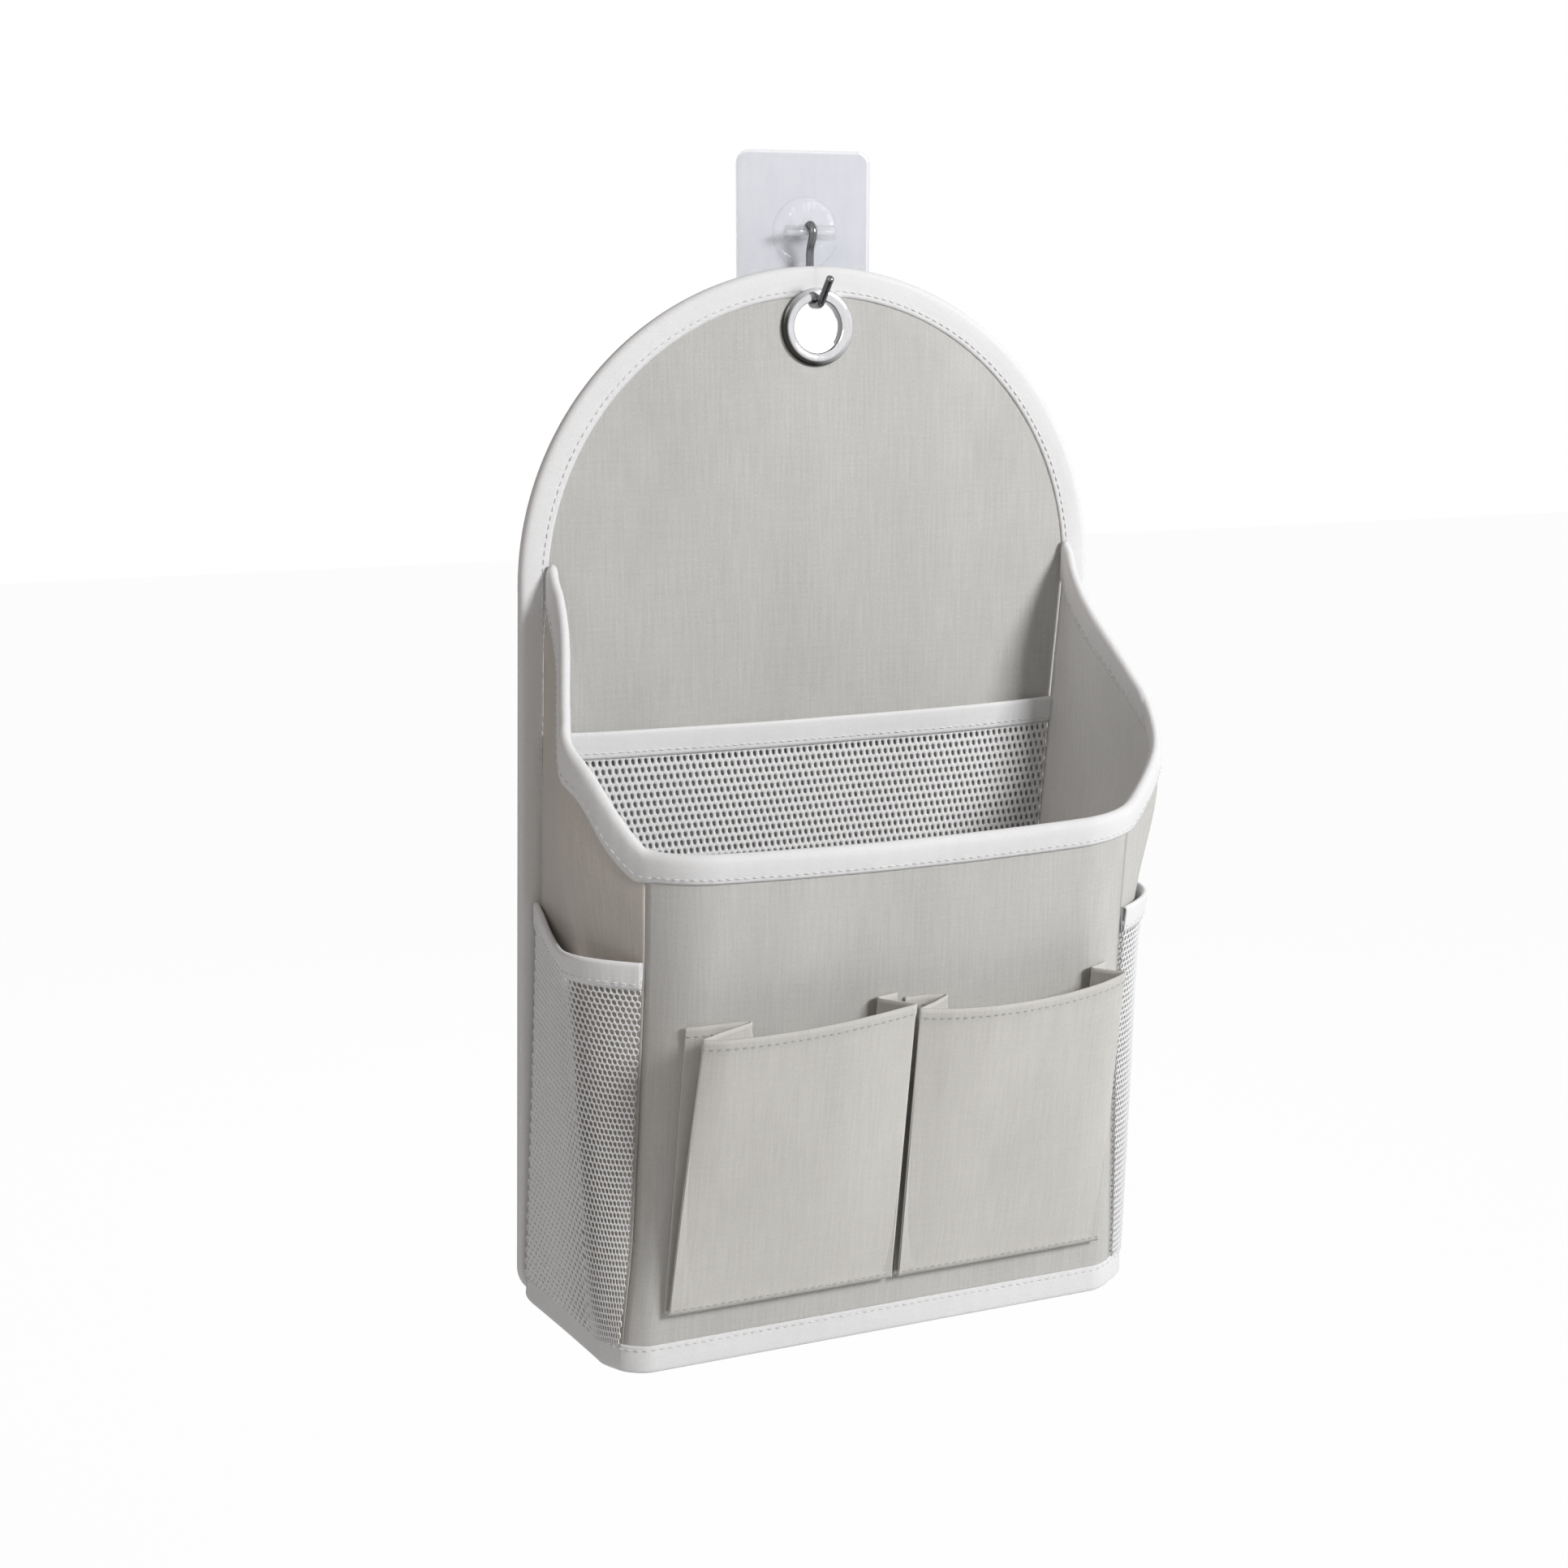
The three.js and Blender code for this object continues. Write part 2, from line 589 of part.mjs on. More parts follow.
// Stiffener and lining lie behind the fabric, between the rim's tape and the floor
function innerFrontLayer(fromFace, thickness) {
  const halfWidth = frontHalfWidth - FRONT_BOARD_MARGIN;
  return frontLayer(halfWidth, rimFrontZ - TAPE_WIDTH - SEAM_GAP, floorZ, fromFace, thickness);
}

const boardBack = WALL_FABRIC + LAYER_GAP;
const liningBack = boardBack + FRONT_BOARD + LAYER_GAP;

// Runs a chain of points from the left back seam round the front to the right back seam
function runRound(chainAt) {
  const left = sideStations.map((u) => ({ u, side: -1 }));
  const right = [...sideStations].reverse().map((u) => ({ u, side: 1 }));
  const stations = [...left, ...right].map(({ u, side }) => {
    const { outer, inner } = chainAt(u);
    const onSide = (chain) => chain.map((point) => mirror(point, side));
    return { outer: onSide(outer), inner: onSide(inner) };
  });
  return loftBand(stations);
}

function rimBinding() {
  const outside = TAPE_GAP + TAPE_THICKNESS;
  return runRound((u) => {
    const stretch = rimStretch(u);
    const place = (down, distance) => sideOffset(u, rimHeight(u) - down * stretch, distance);
    return {
      outer: [
        place(TAPE_WIDTH, outside),
        place(-outside, outside),
        place(-outside, -WALL_FABRIC - outside),
        place(TAPE_WIDTH, -WALL_FABRIC - outside),
      ],
      inner: [
        place(TAPE_WIDTH, TAPE_GAP),
        place(-TAPE_GAP, TAPE_GAP),
        place(-TAPE_GAP, -WALL_FABRIC - TAPE_GAP),
        place(TAPE_WIDTH, -WALL_FABRIC - TAPE_GAP),
      ],
    };
  });
}

function baseBinding() {
  const outside = TAPE_GAP + TAPE_THICKNESS;
  return runRound((u) => {
    const edge = (rise, distance) => sideOffset(u, baseZ + rise, distance).setZ(baseZ + rise);
    return {
      outer: [edge(TAPE_WIDTH, outside), edge(-outside, outside), edge(-outside, -BASE_TAPE_FOLD)],
      inner: [edge(TAPE_WIDTH, TAPE_GAP), edge(-TAPE_GAP, TAPE_GAP), edge(-TAPE_GAP, -BASE_TAPE_FOLD)],
    };
  });
}

// Base layers lie inside the foot of the walls
function baseLayer(clearance, bottomZ, thickness) {
  const inside = -WALL_FABRIC - clearance;
  const right = sideStations.map((u) => sideOffset(u, baseZ, inside));
  const outline = [...right, ...right.map((point) => mirror(point, -1)).reverse()];
  const shape = new THREE.Shape(outline.map((point) => new THREE.Vector2(point.x, point.y)));
  const geometry = new THREE.ExtrudeGeometry(shape, { depth: thickness, bevelEnabled: false });
  geometry.translate(0, 0, bottomZ);
  return geometry;
}

// Folded tape over the top edge of a net: place(along, z, distance) gives points of the net's surface
function netBinding(place, alongs, topZ) {
  const outside = TAPE_GAP + TAPE_THICKNESS;
  const stations = alongs.map((along) => {
    const low = topZ - TAPE_WIDTH;
    return {
      outer: [
        place(along, low, NET_THICKNESS + outside),
        place(along, topZ + outside, NET_THICKNESS + outside),
        place(along, topZ + outside, -outside),
        place(along, low, -outside),
      ],
      inner: [
        place(along, low, NET_THICKNESS + TAPE_GAP),
        place(along, topZ + TAPE_GAP, NET_THICKNESS + TAPE_GAP),
        place(along, topZ + TAPE_GAP, -TAPE_GAP),
        place(along, low, -TAPE_GAP),
      ],
    };
  });
  return loftBand(stations);
}

// Inner net: flat, from wall to wall, a little in front of the back panel
const innerNetTopZ = -INNER_NET_DROP;

function innerNetHalfWidth(z) {
  const share = (INNER_NET_STANDOFF + bodyBackY) / (SIDE_DEPTH + bodyBackY);
  return sideOffset(sideShare * share, z, -WALL_FABRIC - SEAM_GAP).x - SEAM_GAP;
}

function innerNetPoint(along, z, distance) {
  return new THREE.Vector3(along * innerNetHalfWidth(z), -INNER_NET_STANDOFF - distance, z);
}

function innerNet() {
  const place = (u, v, face) => {
    return innerNetPoint(2 * u - 1, lerp(innerNetTopZ, floorZ, v), face * NET_THICKNESS);
  };
  return netSheet(place, INNER_NET_COLUMNS, INNER_NET_ROWS);
}

// Side nets: close to the wall along their seams and foot, standing off in the middle of the mouth
const sideNetTopZ = -SIDE_NET_DROP;
const sideNetFootZ = baseZ + TAPE_WIDTH + SEAM_GAP;

function sideNetPoint(u, z, distance) {
  const rise = THREE.MathUtils.clamp((z - sideNetFootZ) / (sideNetTopZ - sideNetFootZ), 0, 1);
  const bulge = SIDE_NET_BULGE * Math.sin(Math.PI * (u / seamEnd)) * Math.sqrt(rise);
  return sideOffset(u, z, SIDE_NET_GAP + bulge + distance);
}

function sideNet(side) {
  const place = (u, v, face) => {
    const z = lerp(sideNetTopZ, sideNetFootZ, v);
    return mirror(sideNetPoint(u * seamEnd, z, face * NET_THICKNESS), side);
  };
  return netSheet(place, SIDE_NET_COLUMNS, SIDE_NET_ROWS);
}

function sideNetBinding(side) {
  const alongs = netTicks(SIDE_NET_COLUMNS).map((u) => u * seamEnd);
  return netBinding((u, z, distance) => mirror(sideNetPoint(u, z, distance), side), alongs, sideNetTopZ);
}

// Moves each point of an open line sideways by a distance, with mitred corners
function offsetLine(line, distance) {
  return line.map((point, i) => {
    const before = line[Math.max(i - 1, 0)];
    const after = line[Math.min(i + 1, line.length - 1)];
    const from = i > 0 ? point.clone().sub(before).normalize() : after.clone().sub(point).normalize();
    const to = i < line.length - 1 ? after.clone().sub(point).normalize() : from;
    const normal = new THREE.Vector2(-from.y - to.y, from.x + to.x).normalize();
    const cosine = normal.dot(new THREE.Vector2(-from.y, from.x));
    return point.clone().addScaledVector(normal, distance / cosine);
  });
}

// Section of a bellows pocket: seam, inward pleat, face edge, crowned face and the other side alike.
// openness is 0 at the sewn foot, where the three layers lie flat, and 1 at the mouth.
function pocketSection(openness, side) {
  const halfWidth = (pocketSeamX - POCKET_CENTRE_GAP / 2) / 2;
  const layer = POCKET_FABRIC + SEAM_GAP;
  const seam = SEAM_GAP + POCKET_FABRIC / 2;
  const face = seam + 2 * layer + POCKET_STANDOFF * openness;
  const fold = seam + layer / 2 + (POCKET_STANDOFF / 2) * openness;
  const foldX = halfWidth - POCKET_PLEAT;
  const crown = POCKET_CROWN * openness;
  const half = (direction) => {
    const inset = direction === side ? POCKET_OUTER_INSET : 0;
    const edgeX = halfWidth - inset * openness;
    const corners = [
      [halfWidth, seam],
      [foldX, fold - layer / 2],
      [foldX, fold + layer / 2],
      [edgeX, face - layer],
      [edgeX, face],
      [edgeX / 2, face + crown],
    ];
    return corners.map(([x, stand]) => new THREE.Vector2(direction * x, stand));
  };
  return [...half(-1), ...half(1).reverse()];
}

function frontPocket(side) {
  const centreX = (side * (pocketSeamX + POCKET_CENTRE_GAP / 2)) / 2;
  const stations = Array.from({ length: POCKET_ROWS + 1 }, (_, row) => {
    const openness = row / POCKET_ROWS;
    const z = lerp(baseZ + POCKET_FOOT_RISE, -POCKET_DROP, openness);
    const line = pocketSection(openness, side);
    const toSpace = (point) => new THREE.Vector3(centreX + point.x, -depthAt(z) - point.y, z);
    const face = (distance) => offsetLine(line, distance).map(toSpace);
    return { outer: face(POCKET_FABRIC / 2), inner: face(-POCKET_FABRIC / 2) };
  });
  return loftBand(stations);
}

const wallHook = new THREE.Group();
addPiece(wallHook, 'adhesive_film', adhesiveFilm(), material('#e8e9ec', 0.4));
addPiece(wallHook, 'hook_pad', hookPad(), clearPlastic());
addPiece(wallHook, 'hook_boss', hookBoss(), clearPlastic());
addPiece(wallHook, 'hook_axle_pin', hookAxlePin(), steel());
addPiece(wallHook, 'wire_hook', wireHook(), steel());

const organizer = new THREE.Group();
organizer.position.set(0, organizerY, organizerZ);
addPiece(organizer, 'back_front_fabric', backLayer(0, 0, BACK_FABRIC), linen());
addPiece(organizer, 'back_board', backLayer(BACK_BOARD_INSET, boardFrontY, boardRearY), board());
addPiece(organizer, 'back_rear_fabric', backLayer(0, rearFabricFrontY, rearFabricRearY), linen());
addPiece(organizer, 'back_binding', backBinding(), tape());
addPiece(organizer, 'eyelet', eyelet(), steel());
addPiece(organizer, 'eyelet_washer', eyeletWasher(), steel());
addPiece(organizer, 'left_side_wall', sideWall(-1), linen());
addPiece(organizer, 'right_side_wall', sideWall(1), linen());
addPiece(organizer, 'front_panel', frontPanel(), linen());
addPiece(organizer, 'front_board', innerFrontLayer(boardBack, FRONT_BOARD), board());
addPiece(organizer, 'front_lining', innerFrontLayer(liningBack, FRONT_LINING), lining());
addPiece(organizer, 'base_panel', baseLayer(SEAM_GAP, baseZ, BASE_FABRIC), linen());
addPiece(organizer, 'base_board', baseLayer(2 * SEAM_GAP, baseBoardZ, BASE_BOARD), board());
addPiece(organizer, 'rim_binding', rimBinding(), tape());
addPiece(organizer, 'base_binding', baseBinding(), tape());
addPiece(organizer, 'inner_net', innerNet(), net());
addPiece(organizer, 'inner_net_binding', netBinding(innerNetPoint, [-1, 1], innerNetTopZ), tape());
for (const [name, side] of [['left', -1], ['right', 1]]) {
  addPiece(organizer, `${name}_side_net`, sideNet(side), net());
  addPiece(organizer, `${name}_side_net_binding`, sideNetBinding(side), tape());
  addPiece(organizer, `${name}_front_pocket`, frontPocket(side), linen());
}

const hangingOrganizer = new THREE.Group();
hangingOrganizer.add(wallHook, organizer);

export default hangingOrganizer;
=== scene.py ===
# %% [markdown]
# # A hanging wall organizer
# A grey cloth organizer hangs by its eyelet on a wire hook, and the hook turns on a clear pad that
# sticks to the wall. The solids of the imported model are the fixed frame: every piece made here rides
# on one of its bodies, and most pieces stand for a plain solid, which is then hidden. Shapes are
# worked out in millimetres, and become metres when they are put into a mesh.

# %% Load the frame
import math
import bpy
import numpy as np
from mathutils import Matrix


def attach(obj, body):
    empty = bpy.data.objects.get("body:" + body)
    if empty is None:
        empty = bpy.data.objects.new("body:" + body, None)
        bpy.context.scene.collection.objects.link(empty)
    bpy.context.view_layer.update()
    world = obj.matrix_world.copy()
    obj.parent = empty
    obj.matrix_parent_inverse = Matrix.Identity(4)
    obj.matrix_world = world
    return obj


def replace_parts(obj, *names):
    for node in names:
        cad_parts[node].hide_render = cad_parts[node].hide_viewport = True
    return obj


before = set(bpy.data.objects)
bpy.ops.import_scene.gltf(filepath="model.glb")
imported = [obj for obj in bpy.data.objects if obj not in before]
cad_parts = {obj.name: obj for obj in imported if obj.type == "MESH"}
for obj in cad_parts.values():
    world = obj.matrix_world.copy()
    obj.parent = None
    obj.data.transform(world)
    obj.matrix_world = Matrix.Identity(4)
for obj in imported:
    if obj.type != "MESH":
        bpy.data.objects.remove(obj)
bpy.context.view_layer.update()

# %% [markdown]
# ## Camera
# The photograph looks at the organizer from its left and a little from above, so the verticals come
# closer together towards the foot. A camera could be aimed with a Track To constraint, but a yaw and
# a pitch in numbers say the same thing and leave nothing for a constraint to change later.

# %% Camera
LOOK_RIGHT, LOOK_DOWN = math.radians(21.96), math.radians(12.53)
CAMERA_PLACE = (-0.3356, -0.8137, -0.0233)
LENS, SENSOR_WIDTH = 51.28, 36.0


def put_in_scene(name, data):
    """Makes an object from a camera, a lamp or a mesh and links it into the scene."""
    made = bpy.data.objects.new(name, data)
    bpy.context.collection.objects.link(made)
    return made


camera = put_in_scene("camera", bpy.data.cameras.new("camera"))
camera.data.lens = LENS
camera.data.sensor_width = SENSOR_WIDTH
camera.location = CAMERA_PLACE
camera.rotation_euler = (math.pi / 2 - LOOK_DOWN, 0.0, -LOOK_RIGHT)
bpy.context.scene.camera = camera
bpy.context.scene.view_settings.view_transform = "Standard"
print("camera at", CAMERA_PLACE, "m")

# %% [markdown]
# ## Node helpers
# Every finish is a small tree of shader nodes. Adding nodes by hand takes three lines each, so one
# helper makes a node, sets its plain values and links the inputs that are given as sockets.


# %% Node helpers
def node(tree, kind, inputs=None, **settings):
    """Makes one shader node: sockets among the inputs are linked, other inputs are set as values."""
    made = tree.nodes.new("ShaderNode" + kind)
    for name, value in settings.items():
        setattr(made, name, value)
    for name, value in (inputs or {}).items():
        if isinstance(value, bpy.types.NodeSocket):
            tree.links.new(value, made.inputs[name])
        else:
            made.inputs[name].default_value = value
    return made


def maths(tree, operation, first, second=0.0, third=0.0):
    """One Math node on one, two or three numbers or sockets."""
    return node(tree, "Math", {0: first, 1: second, 2: third}, operation=operation).outputs[0]


def scaled(tree, vector, factors):
    """A vector multiplied by one factor per axis."""
    return node(tree, "VectorMath", {0: vector, 1: factors}, operation="MULTIPLY").outputs[0]


def noise(tree, vector, detail=2.0, scale=1.0):
    """The value of a noise texture at a vector, about a half on the whole."""
    made = node(tree, "TexNoise", {"Vector": vector, "Scale": scale, "Detail": detail})
    return made.outputs["Fac"]


def seen_directly(tree):
    """1 where the camera, a mirror or clear plastic looks straight at something, 0 for scattered light."""
    path = node(tree, "LightPath").outputs
    seen = maths(tree, "MAXIMUM", path["Is Camera Ray"], path["Is Glossy Ray"])
    return maths(tree, "MAXIMUM", seen, path["Is Transmission Ray"])


def rgb(red, green, blue):
    """A colour read off a screen, 0 to 255, as the linear values that shaders use."""
    screen = np.array([red, green, blue]) / 255
    linear = np.where(screen <= 0.04045, screen / 12.92, ((screen + 0.055) / 1.055) ** 2.4)
    return (*[float(value) for value in linear], 1.0)


print("linen grey in linear light:", [round(value, 3) for value in rgb(189, 189, 184)])

# %% [markdown]
# ## Light and background
# The photograph has a soft lamp at the right, in front and above, and a white surrounding that fills
# the shadows. Here a weak, warm lamp fills the left side, and a third lamp lights the back for views
# from behind. The world gives the rest of the fill. It is plain white only for what the camera, a
# mirror or clear plastic sees directly, so the background is white without more light on the cloth.

# %% Light and background
WHITE = (1.0, 1.0, 1.0, 1.0)
FILL_COLOUR, FILL_STRENGTH = (0.97, 0.98, 1.0, 1.0), 0.165
world = bpy.data.worlds.new("studio")
world.use_nodes = True
sky = world.node_tree
sky.nodes.clear()
fill = node(sky, "Background", {"Color": FILL_COLOUR, "Strength": FILL_STRENGTH})
white = node(sky, "Background", {"Color": WHITE, "Strength": 1.0})
mixed = node(sky, "MixShader", {0: seen_directly(sky), 1: fill.outputs[0], 2: white.outputs[0]})
node(sky, "OutputWorld", {"Surface": mixed.outputs[0]})
bpy.context.scene.world = world


def soft_lamp(name, place, aim, size, watts, colour):
    """A square area lamp at a place, turned so that its face looks at the aim."""
    data = bpy.data.lights.new(name, "AREA")
    data.size, data.energy, data.color = size, watts, colour
    towards = np.array(aim) - np.array(place)
    pitch = math.pi / 2 + math.atan2(towards[2], math.hypot(towards[0], towards[1]))
    lamp = put_in_scene(name, data)
    lamp.location = place
    lamp.rotation_euler = (pitch, 0.0, math.atan2(-towards[0], towards[1]))


soft_lamp("key_lamp", place=(0.98, -1.23, 0.55), aim=(0.0, -0.05, -0.22), size=0.5, watts=28.5,
          colour=(1.0, 1.0, 0.995))
soft_lamp("warm_fill_lamp", place=(-1.2, -0.72, 0.55), aim=(0.0, -0.05, -0.25), size=0.9, watts=4.0,
          colour=(1.0, 0.90, 0.81))
soft_lamp("rear_lamp", place=(0.45, 1.6, 0.25), aim=(0.0, 0.0, -0.22), size=1.0, watts=11.0,
          colour=(1.0, 1.0, 1.0))

# %% [markdown]
# ## Lines and mixes
# Cloth, tape and wire are all worked out as arrays of points. A curve object could be sampled
# instead, but a few short functions do the same for any line: they mix two values, step smoothly
# from 0 to 1, measure along a line and space points evenly on it.


# %% Lines and mixes
def unit(vectors):
    """Vectors scaled to length one."""
    return vectors / np.maximum(np.linalg.norm(vectors, axis=-1, keepdims=True), 1e-9)


def ease(value):
    """0 below 0, 1 above 1 and a smooth step between them."""
    value = np.clip(value, 0, 1)
    return value * value * (3 - 2 * value)


def blend(first, last, share):
    """The straight mix of two values."""
    return first + (last - first) * share


def run_length(points):
    """Distance along a line of points, from its first point to each of them."""
    return np.concatenate([[0], np.cumsum(np.linalg.norm(np.diff(points, axis=0), axis=1))])


def at_lengths(line, run, stops):
    """What a line has at some stops along its running length, mixed between its points."""
    return np.stack([np.interp(stops, run, line[:, i]) for i in range(line.shape[1])], -1)


def even(points, count, closed=False):
    """Points spaced evenly by length along a line, which returns to its start where it is closed."""
    line = np.vstack([points, points[:1]]) if closed else points
    run = run_length(line)
    return at_lengths(line, run, np.linspace(0, run[-1], count, endpoint=not closed))


def running_mean(values, count):
    """The mean of each value and its neighbours, an odd count of them in all."""
    return np.convolve(np.pad(values, count // 2, mode="edge"), np.ones(count) / count, "valid")


print("a smooth step at a quarter of its way:", float(ease(0.25)))

# %% [markdown]
# ## Faces and areas
# A grid of rows and columns becomes a mesh of four-sided faces. Blender can recalculate normals, but
# the area vectors of the faces already tell which way they look, so the whole grid is turned round
# where that is the wrong way. The same vectors give the area of a cloth.

# %% Faces and areas
MM = 1000


def grid_faces(rows, columns, loop_rows=False, loop_columns=False):
    """Corner numbers of the four-sided faces of a grid of points, closed on itself where asked."""
    row = np.arange(rows if loop_rows else rows - 1)
    column = np.arange(columns if loop_columns else columns - 1)
    row, column = np.meshgrid(row, column, indexing="ij")
    below, right = (row + 1) % rows, (column + 1) % columns
    corners = [(row, column), (below, column), (below, right), (row, right)]
    return np.stack([line * columns + place for line, place in corners], -1).reshape(-1, 4)


def face_areas(points, faces):
    """Area vectors of faces, half the cross product of their diagonals, and the faces' middles."""
    a, b, c, d = (points[faces[:, i]] for i in range(4))
    return np.cross(c - a, d - b) / 2, (a + b + c + d) / 4


def faces_out(points, faces, facing=None):
    """Whether the summed area of faces looks to facing or, without one, away from the points' middle."""
    areas, middles = face_areas(points, faces)
    if facing is None:
        return (areas * (middles - points.mean(0))).sum() > 0
    return areas.sum(0) @ np.array(facing) > 0


def square_metres(points, faces):
    """Summed area of faces whose points are in millimetres."""
    areas, _ = face_areas(points, faces)
    return float(np.linalg.norm(areas, axis=1).sum() / MM ** 2)


print("faces of a ring of 3 by 8 points:", len(grid_faces(3, 8, loop_columns=True)))

# %% [markdown]
# ## Pieces and sheets
# Every piece is made in one way: its points become a mesh with a finish and a body to ride on. A sheet
# also gets a thickness, which Solidify keeps apart from its shape. The lengths along its grid become its
# UV map, in metres, so that a weave follows the cloth round corners and keeps its real scale.

# %% Pieces and sheets
HANG = np.array([0.0, -15.15, -15.9])


def make_piece(name, points, faces, finish, body="organizer", facing=None, uv=None, caps=None,
               painted_dark_reflection=None):
    """A smooth mesh from points in world millimetres; caps are end faces, and the painted dark reflection is
    one value per point.
    """
    points = points.reshape(-1, 3)
    sides = [faces] if caps is None else [faces, caps]
    if not faces_out(points, faces, facing):
        sides = [corners[:, ::-1] for corners in sides]
    mesh = bpy.data.meshes.new(name)
    mesh.from_pydata(points / MM, [], [face for corners in sides for face in corners.tolist()])
    if uv is not None:
        corners = np.empty(len(mesh.loops), np.int32)
        mesh.loops.foreach_get("vertex_index", corners)
        mesh.uv_layers.new(name="cloth").data.foreach_set("uv", uv[corners].astype(np.float32).ravel())
    # one value per point of painted dark reflection and painted shade
    if painted_dark_reflection is not None:
        marks = mesh.attributes.new("painted_dark_reflection", "FLOAT", "POINT")
        marks.data.foreach_set("value", painted_dark_reflection.astype(np.float32))
    mesh.shade_smooth()
    mesh.materials.append(finish)
    piece = put_in_scene(name, mesh)
    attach(piece, body)
    return piece


def thicken(piece, thickness, offset=-1.0):
    """Solidify gives a sheet its thickness behind its faces or, with an offset of 0, to both sides."""
    solid = piece.modifiers.new("thickness", "SOLIDIFY")
    solid.thickness = thickness / MM
    solid.offset = offset


def cloth_lengths(grid):
    """UV in metres: mean running length of the grid's rows across it and of its columns down it."""
    across = np.linalg.norm(np.diff(grid, axis=1), axis=2).mean(0) / MM
    down = np.linalg.norm(np.diff(grid, axis=0), axis=2).mean(1) / MM
    u, v = np.concatenate([[0], np.cumsum(across)]), np.concatenate([[0], np.cumsum(down)])
    return np.stack(np.broadcast_arrays(u[None, :], -v[:, None]), -1).reshape(-1, 2)


def sheet_piece(name, grid, thickness, finish, stands_for=None, facing=None, loop_rows=False,
                uv=None):
    """A sheet from a grid in the organizer's own millimetres, made thick on the side away from facing."""
    faces = grid_faces(*grid.shape[:2], loop_rows)
    uv = cloth_lengths(grid) if uv is None else uv
    piece = make_piece(name, grid + HANG, faces, finish, facing=facing, uv=uv)
    thicken(piece, thickness)
    if stands_for:
        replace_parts(piece, stands_for)
    return piece


def flat_area(grid, loop_rows=False):
    """Area in square metres of a grid given in millimetres."""
    return square_metres(grid.reshape(-1, 3), grid_faces(*grid.shape[:2], loop_rows))


print("the top of the arch hangs at", HANG, "mm")

# %% [markdown]
# ## The weave
# The grey cloth is a linen look: a plain weave whose threads swell and thin along their length, which
# shows as short upright streaks. A picture texture could show that, but noise stretched along the
# threads gives it at any distance. The weave is a group, so cloth, lining and tape share it.


# %% The weave group
def new_group(name, numbers, light, dark):
    """An empty group that takes a place, numbers and two colours, and gives Colour and Height."""
    group = bpy.data.node_groups.new(name, "ShaderNodeTree")
    new_socket = group.interface.new_socket
    new_socket("Place", in_out="INPUT", socket_type="NodeSocketVector")
    for label, value in numbers.items():
        new_socket(label, in_out="INPUT", socket_type="NodeSocketFloat").default_value = value
    for label, value in (("Light", light), ("Dark", dark)):
        new_socket(label, in_out="INPUT", socket_type="NodeSocketColor").default_value = value
    new_socket("Colour", in_out="OUTPUT", socket_type="NodeSocketColor")
    new_socket("Height", in_out="OUTPUT", socket_type="NodeSocketFloat")
    return group, group.nodes.new("NodeGroupInput").outputs


def close_group(group, given, tone, height):
    """Ends a group: the tone mixes its dark and light colour, and the height goes out as it is."""
    colour = node(group, "MixRGB", {"Fac": tone, "Color1": given["Dark"], "Color2": given["Light"]},
                  use_clamp=True)
    result = group.nodes.new("NodeGroupOutput")
    group.links.new(colour.outputs[0], result.inputs["Colour"])
    group.links.new(height, result.inputs["Height"])
    return group


def swing(tree, value, gain):
    """Noise moved to lie evenly about 0 and multiplied by a gain."""
    return maths(tree, "MULTIPLY_ADD", value, gain, -gain / 2)


def linen_group():
    """Crossed sine waves give the over and under of threads, and noise drawn out along them gives slubs."""
    group, given = new_group("linen_weave", {"Threads": 2100.0, "Slub": 1.0},
                             light=(0.6, 0.6, 0.57, 1), dark=(0.4, 0.4, 0.38, 1))
    place = given["Place"]
    axes = node(group, "SeparateXYZ", {0: place}).outputs
    turn = maths(group, "MULTIPLY", given["Threads"], 2 * math.pi)
    warp = maths(group, "SINE", maths(group, "MULTIPLY", axes[0], turn))
    weft = maths(group, "SINE", maths(group, "MULTIPLY", axes[1], turn))
    over = maths(group, "MULTIPLY", warp, weft)
    # the factors are spots of noise per metre, across the cloth and down it
    upright = noise(group, scaled(group, place, (950.0, 48.0, 0.0)))
    level = noise(group, scaled(group, place, (42.0, 900.0, 0.0)))
    fleck = noise(group, scaled(group, place, (1500.0, 900.0, 0.0)), detail=1.0)
    broad = noise(group, scaled(group, place, (22.0, 9.0, 0.0)))
    slubs = maths(group, "ADD", swing(group, upright, 1.1), swing(group, level, 0.5))
    slubs = maths(group, "MULTIPLY", slubs, given["Slub"])
    tone = maths(group, "ADD", slubs, swing(group, fleck, 0.8))
    tone = maths(group, "ADD", tone, broad)
    tone = maths(group, "MULTIPLY_ADD", over, 0.12, tone)
    height = maths(group, "MULTIPLY_ADD", over, 0.35, slubs)
    return close_group(group, given, tone, height)


LINEN = linen_group()
print("group", LINEN.name)

# %% [markdown]
# ## Materials of the organizer
# Cloth, lining, white tape, net and sewing thread all take their colour and their bump from the weave
# group, each with its own thread count and pair of colours. The left wall's cloth is a warmer copy of
# the linen: painted warm light from the left.
# The bump is small, because folds, hems and stitches are real geometry further down.


# %% Materials of the organizer
def bare_material(name):
    """A material with an empty node tree, and that tree."""
    finish = bpy.data.materials.new(name)
    finish.use_nodes = True
    finish.node_tree.nodes.clear()
    return finish, finish.node_tree


